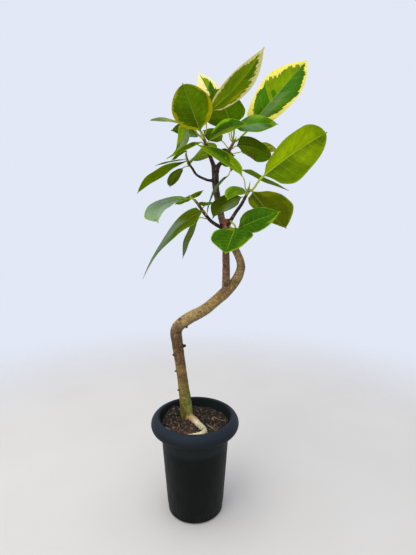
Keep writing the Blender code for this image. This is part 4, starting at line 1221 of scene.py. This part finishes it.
# Points of the wall between which it is drawn round.
LIP_ARCS = ((10, 14), (16, 23))
POT_SIDES = 180
DRAIN_HOLES, DRAIN_RADIUS, DRAIN_RING = 6, 0.006, 0.045
NOTCH_ANGLES = (250, 340, 70, 160)
NOTCH_RADIUS, NOTCH_DEEP, NOTCH_WIDTH, NOTCH_HEIGHT = 0.0745, 0.03, 0.022, 0.0034
# How far the cutters reach below the foot.
CUT_PAST = 0.01


def pot_profile():
    """The wall's outline with its lip drawn as smooth curves."""
    outline_points = []
    for i, (radius, height) in enumerate(POT_WALL[:-1]):
        curved = any(first <= i < last for first, last in LIP_ARCS)
        steps = 5 if curved else 1
        a, b, c, d = (np.array(POT_WALL[min(max(i + k, 0), len(POT_WALL) - 1)]) for k in (-1, 0, 1, 2))
        for t in np.arange(steps) / steps:
            if not curved:
                outline_points.append((radius, height))
                continue
            outline_points.append(tuple(spline_point(a, b, c, d, t)))
    return outline_points + [POT_WALL[-1]]


def lathe(profile, sides):
    """Closed turned shape from a profile that starts and ends on the axis."""
    verts, faces, rings = [], [], []
    for radius, height in profile:
        if radius == 0.0:
            rings.append([len(verts)])
            verts.append((0.0, 0.0, height))
            continue
        rings.append(list(range(len(verts), len(verts) + sides)))
        for side in range(sides):
            turn = 2.0 * math.pi * side / sides
            verts.append((radius * math.cos(turn), radius * math.sin(turn), height))
    for lower, upper in zip(rings, rings[1:]):
        for side in range(sides):
            after = (side + 1) % sides
            if len(lower) == 1:
                faces.append((lower[0], upper[after], upper[side]))
            elif len(upper) == 1:
                faces.append((lower[side], lower[after], upper[0]))
            else:
                faces.append((lower[side], lower[after], upper[after], upper[side]))
    return verts, faces


def notch_box(turn):
    """Cutter for one notch in the pot's foot."""
    verts, c, s = [], math.cos(turn), math.sin(turn)
    for dx, dy, dz in BOX_CORNERS:
        x, y = NOTCH_RADIUS + dx * NOTCH_DEEP, dy * NOTCH_WIDTH
        verts.append((x * c - y * s, x * s + y * c, NOTCH_HEIGHT if dz > 0 else -CUT_PAST))
    return verts, BOX_FACES


def build_pot(material):
    pot = add_piece("nursery_pot", *lathe(pot_profile(), POT_SIDES), [material], "pot_plastic", ["pot"])
    shapes = [notch_box(math.radians(angle)) for angle in NOTCH_ANGLES]
    for i in range(DRAIN_HOLES):
        turn = 2.0 * math.pi * i / DRAIN_HOLES
        x, y = DRAIN_RING * math.cos(turn), DRAIN_RING * math.sin(turn)
        shapes.append(tube([(x, y, -CUT_PAST), (x, y, 0.02)], [DRAIN_RADIUS] * 2, 32))
    cutter = new_object("cutter", *join(shapes))
    cut = pot.modifiers.new("cut", "BOOLEAN")
    cut.operation, cut.object = "DIFFERENCE", cutter
    done = bpy.data.meshes.new_from_object(pot.evaluated_get(bpy.context.evaluated_depsgraph_get()))
    pot.modifiers.clear()
    pot.data = done
    bpy.data.objects.remove(cutter, do_unlink=True)
    pot.data.shade_smooth()
    pot.data.set_sharp_from_angle(angle=math.radians(38))


# Floor, light and camera

# Reach of the floor where it starts to fade, and where it's gone.
FLOOR_SOLID, FLOOR_GONE, FLOOR_SIDES = 0.85, 1.9, 96


def build_floor():
    """Pale disc whose rim fades into the backdrop."""
    turns = 2.0 * math.pi * np.arange(FLOOR_SIDES) / FLOOR_SIDES
    verts = np.stack([FLOOR_GONE * np.cos(turns), FLOOR_GONE * np.sin(turns), 0.0 * turns], -1)
    floor = new_object("floor", verts, [tuple(range(FLOOR_SIDES))])
    material, tree, shader = new_material("pale_floor")
    place = object_place(tree)
    solid = ramp(length_of(place), FLOOR_SOLID, FLOOR_GONE - 0.02, 1.0, 0.0)
    solid.into(shader.inputs["Alpha"])
    tint = blend(cloud(place, 3.0, 4.0), opaque((214, 208, 198)), opaque((224, 219, 210)))
    tint.into(shader.inputs["Base Color"])
    shader.inputs["Roughness"].default_value = 0.9
    floor.data.materials.append(material)


def add_light(name, place, target, size, power, colour):
    lamp = bpy.data.lights.new(name, "AREA")
    lamp.shape, lamp.size, lamp.energy, lamp.color = "SQUARE", size, power, colour
    obj = bpy.data.objects.new(name, lamp)
    obj.location = place
    obj.rotation_euler = (Vector(target) - Vector(place)).to_track_quat("-Z", "Y").to_euler()
    bpy.context.scene.collection.objects.link(obj)


def light_scene():
    world = bpy.data.worlds.new("backdrop")
    bpy.context.scene.world = world
    world.use_nodes = True
    background = world.node_tree.nodes["Background"]
    background.inputs["Color"].default_value = opaque((226, 232, 246))
    background.inputs["Strength"].default_value = 1.0
    add_light("soft_top", (-0.5, -0.5, 2.7), (0.05, 0.0, 0.8), 1.8, 24.0, (1.0, 0.985, 0.96))
    add_light("soft_front", (-1.6, -2.2, 1.7), (0.05, 0.0, 0.7), 1.6, 14.0, (1.0, 0.99, 0.98))
    bpy.context.scene.view_settings.view_transform = "Standard"


def place_camera():
    camera = bpy.data.cameras.new("camera")
    camera.sensor_fit, camera.sensor_width = "AUTO", SENSOR_MM
    camera.lens = SENSOR_MM * FOCAL / FRAME_HIGH
    camera.clip_start, camera.clip_end = 0.01, 50.0
    obj = bpy.data.objects.new("camera", camera)
    obj.location = CAMERA_PLACE
    obj.rotation_euler = (math.radians(90.0 - CAMERA_DOWN_DEG), 0.0, 0.0)
    bpy.context.scene.collection.objects.link(obj)
    bpy.context.scene.camera = obj


def main():
    place_camera()
    light_scene()
    build_floor()
    build_pot(pot_material())
    build_soil(tinted_material("soil_bed_surface", 0.9, 500.0, 0.0006),
               tinted_material("soil_chip_surface", 0.85, 900.0, 0.0003))
    build_wood(bark_material())
    stalk_material = tinted_material("leaf_stalk_surface", 0.45, 350.0, 0.0001, 0.12, STALK_GLOSS)
    leaf_materials = [leaf_material("leaf_blade", LEAF_GLOSS), stalk_material]
    dull_materials = [leaf_material("leaf_blade_dull", 0.0), stalk_material]
    for number in range(1, len(LEAVES) + 1):
        build_leaf(number, dull_materials if number in DULL_LEAVES else leaf_materials)
    bud_material = tinted_material("bud_surface", 0.4, 350.0, 0.0001, 0.12)
    for name in BUDS:
        build_bud(name, bud_material)


main()
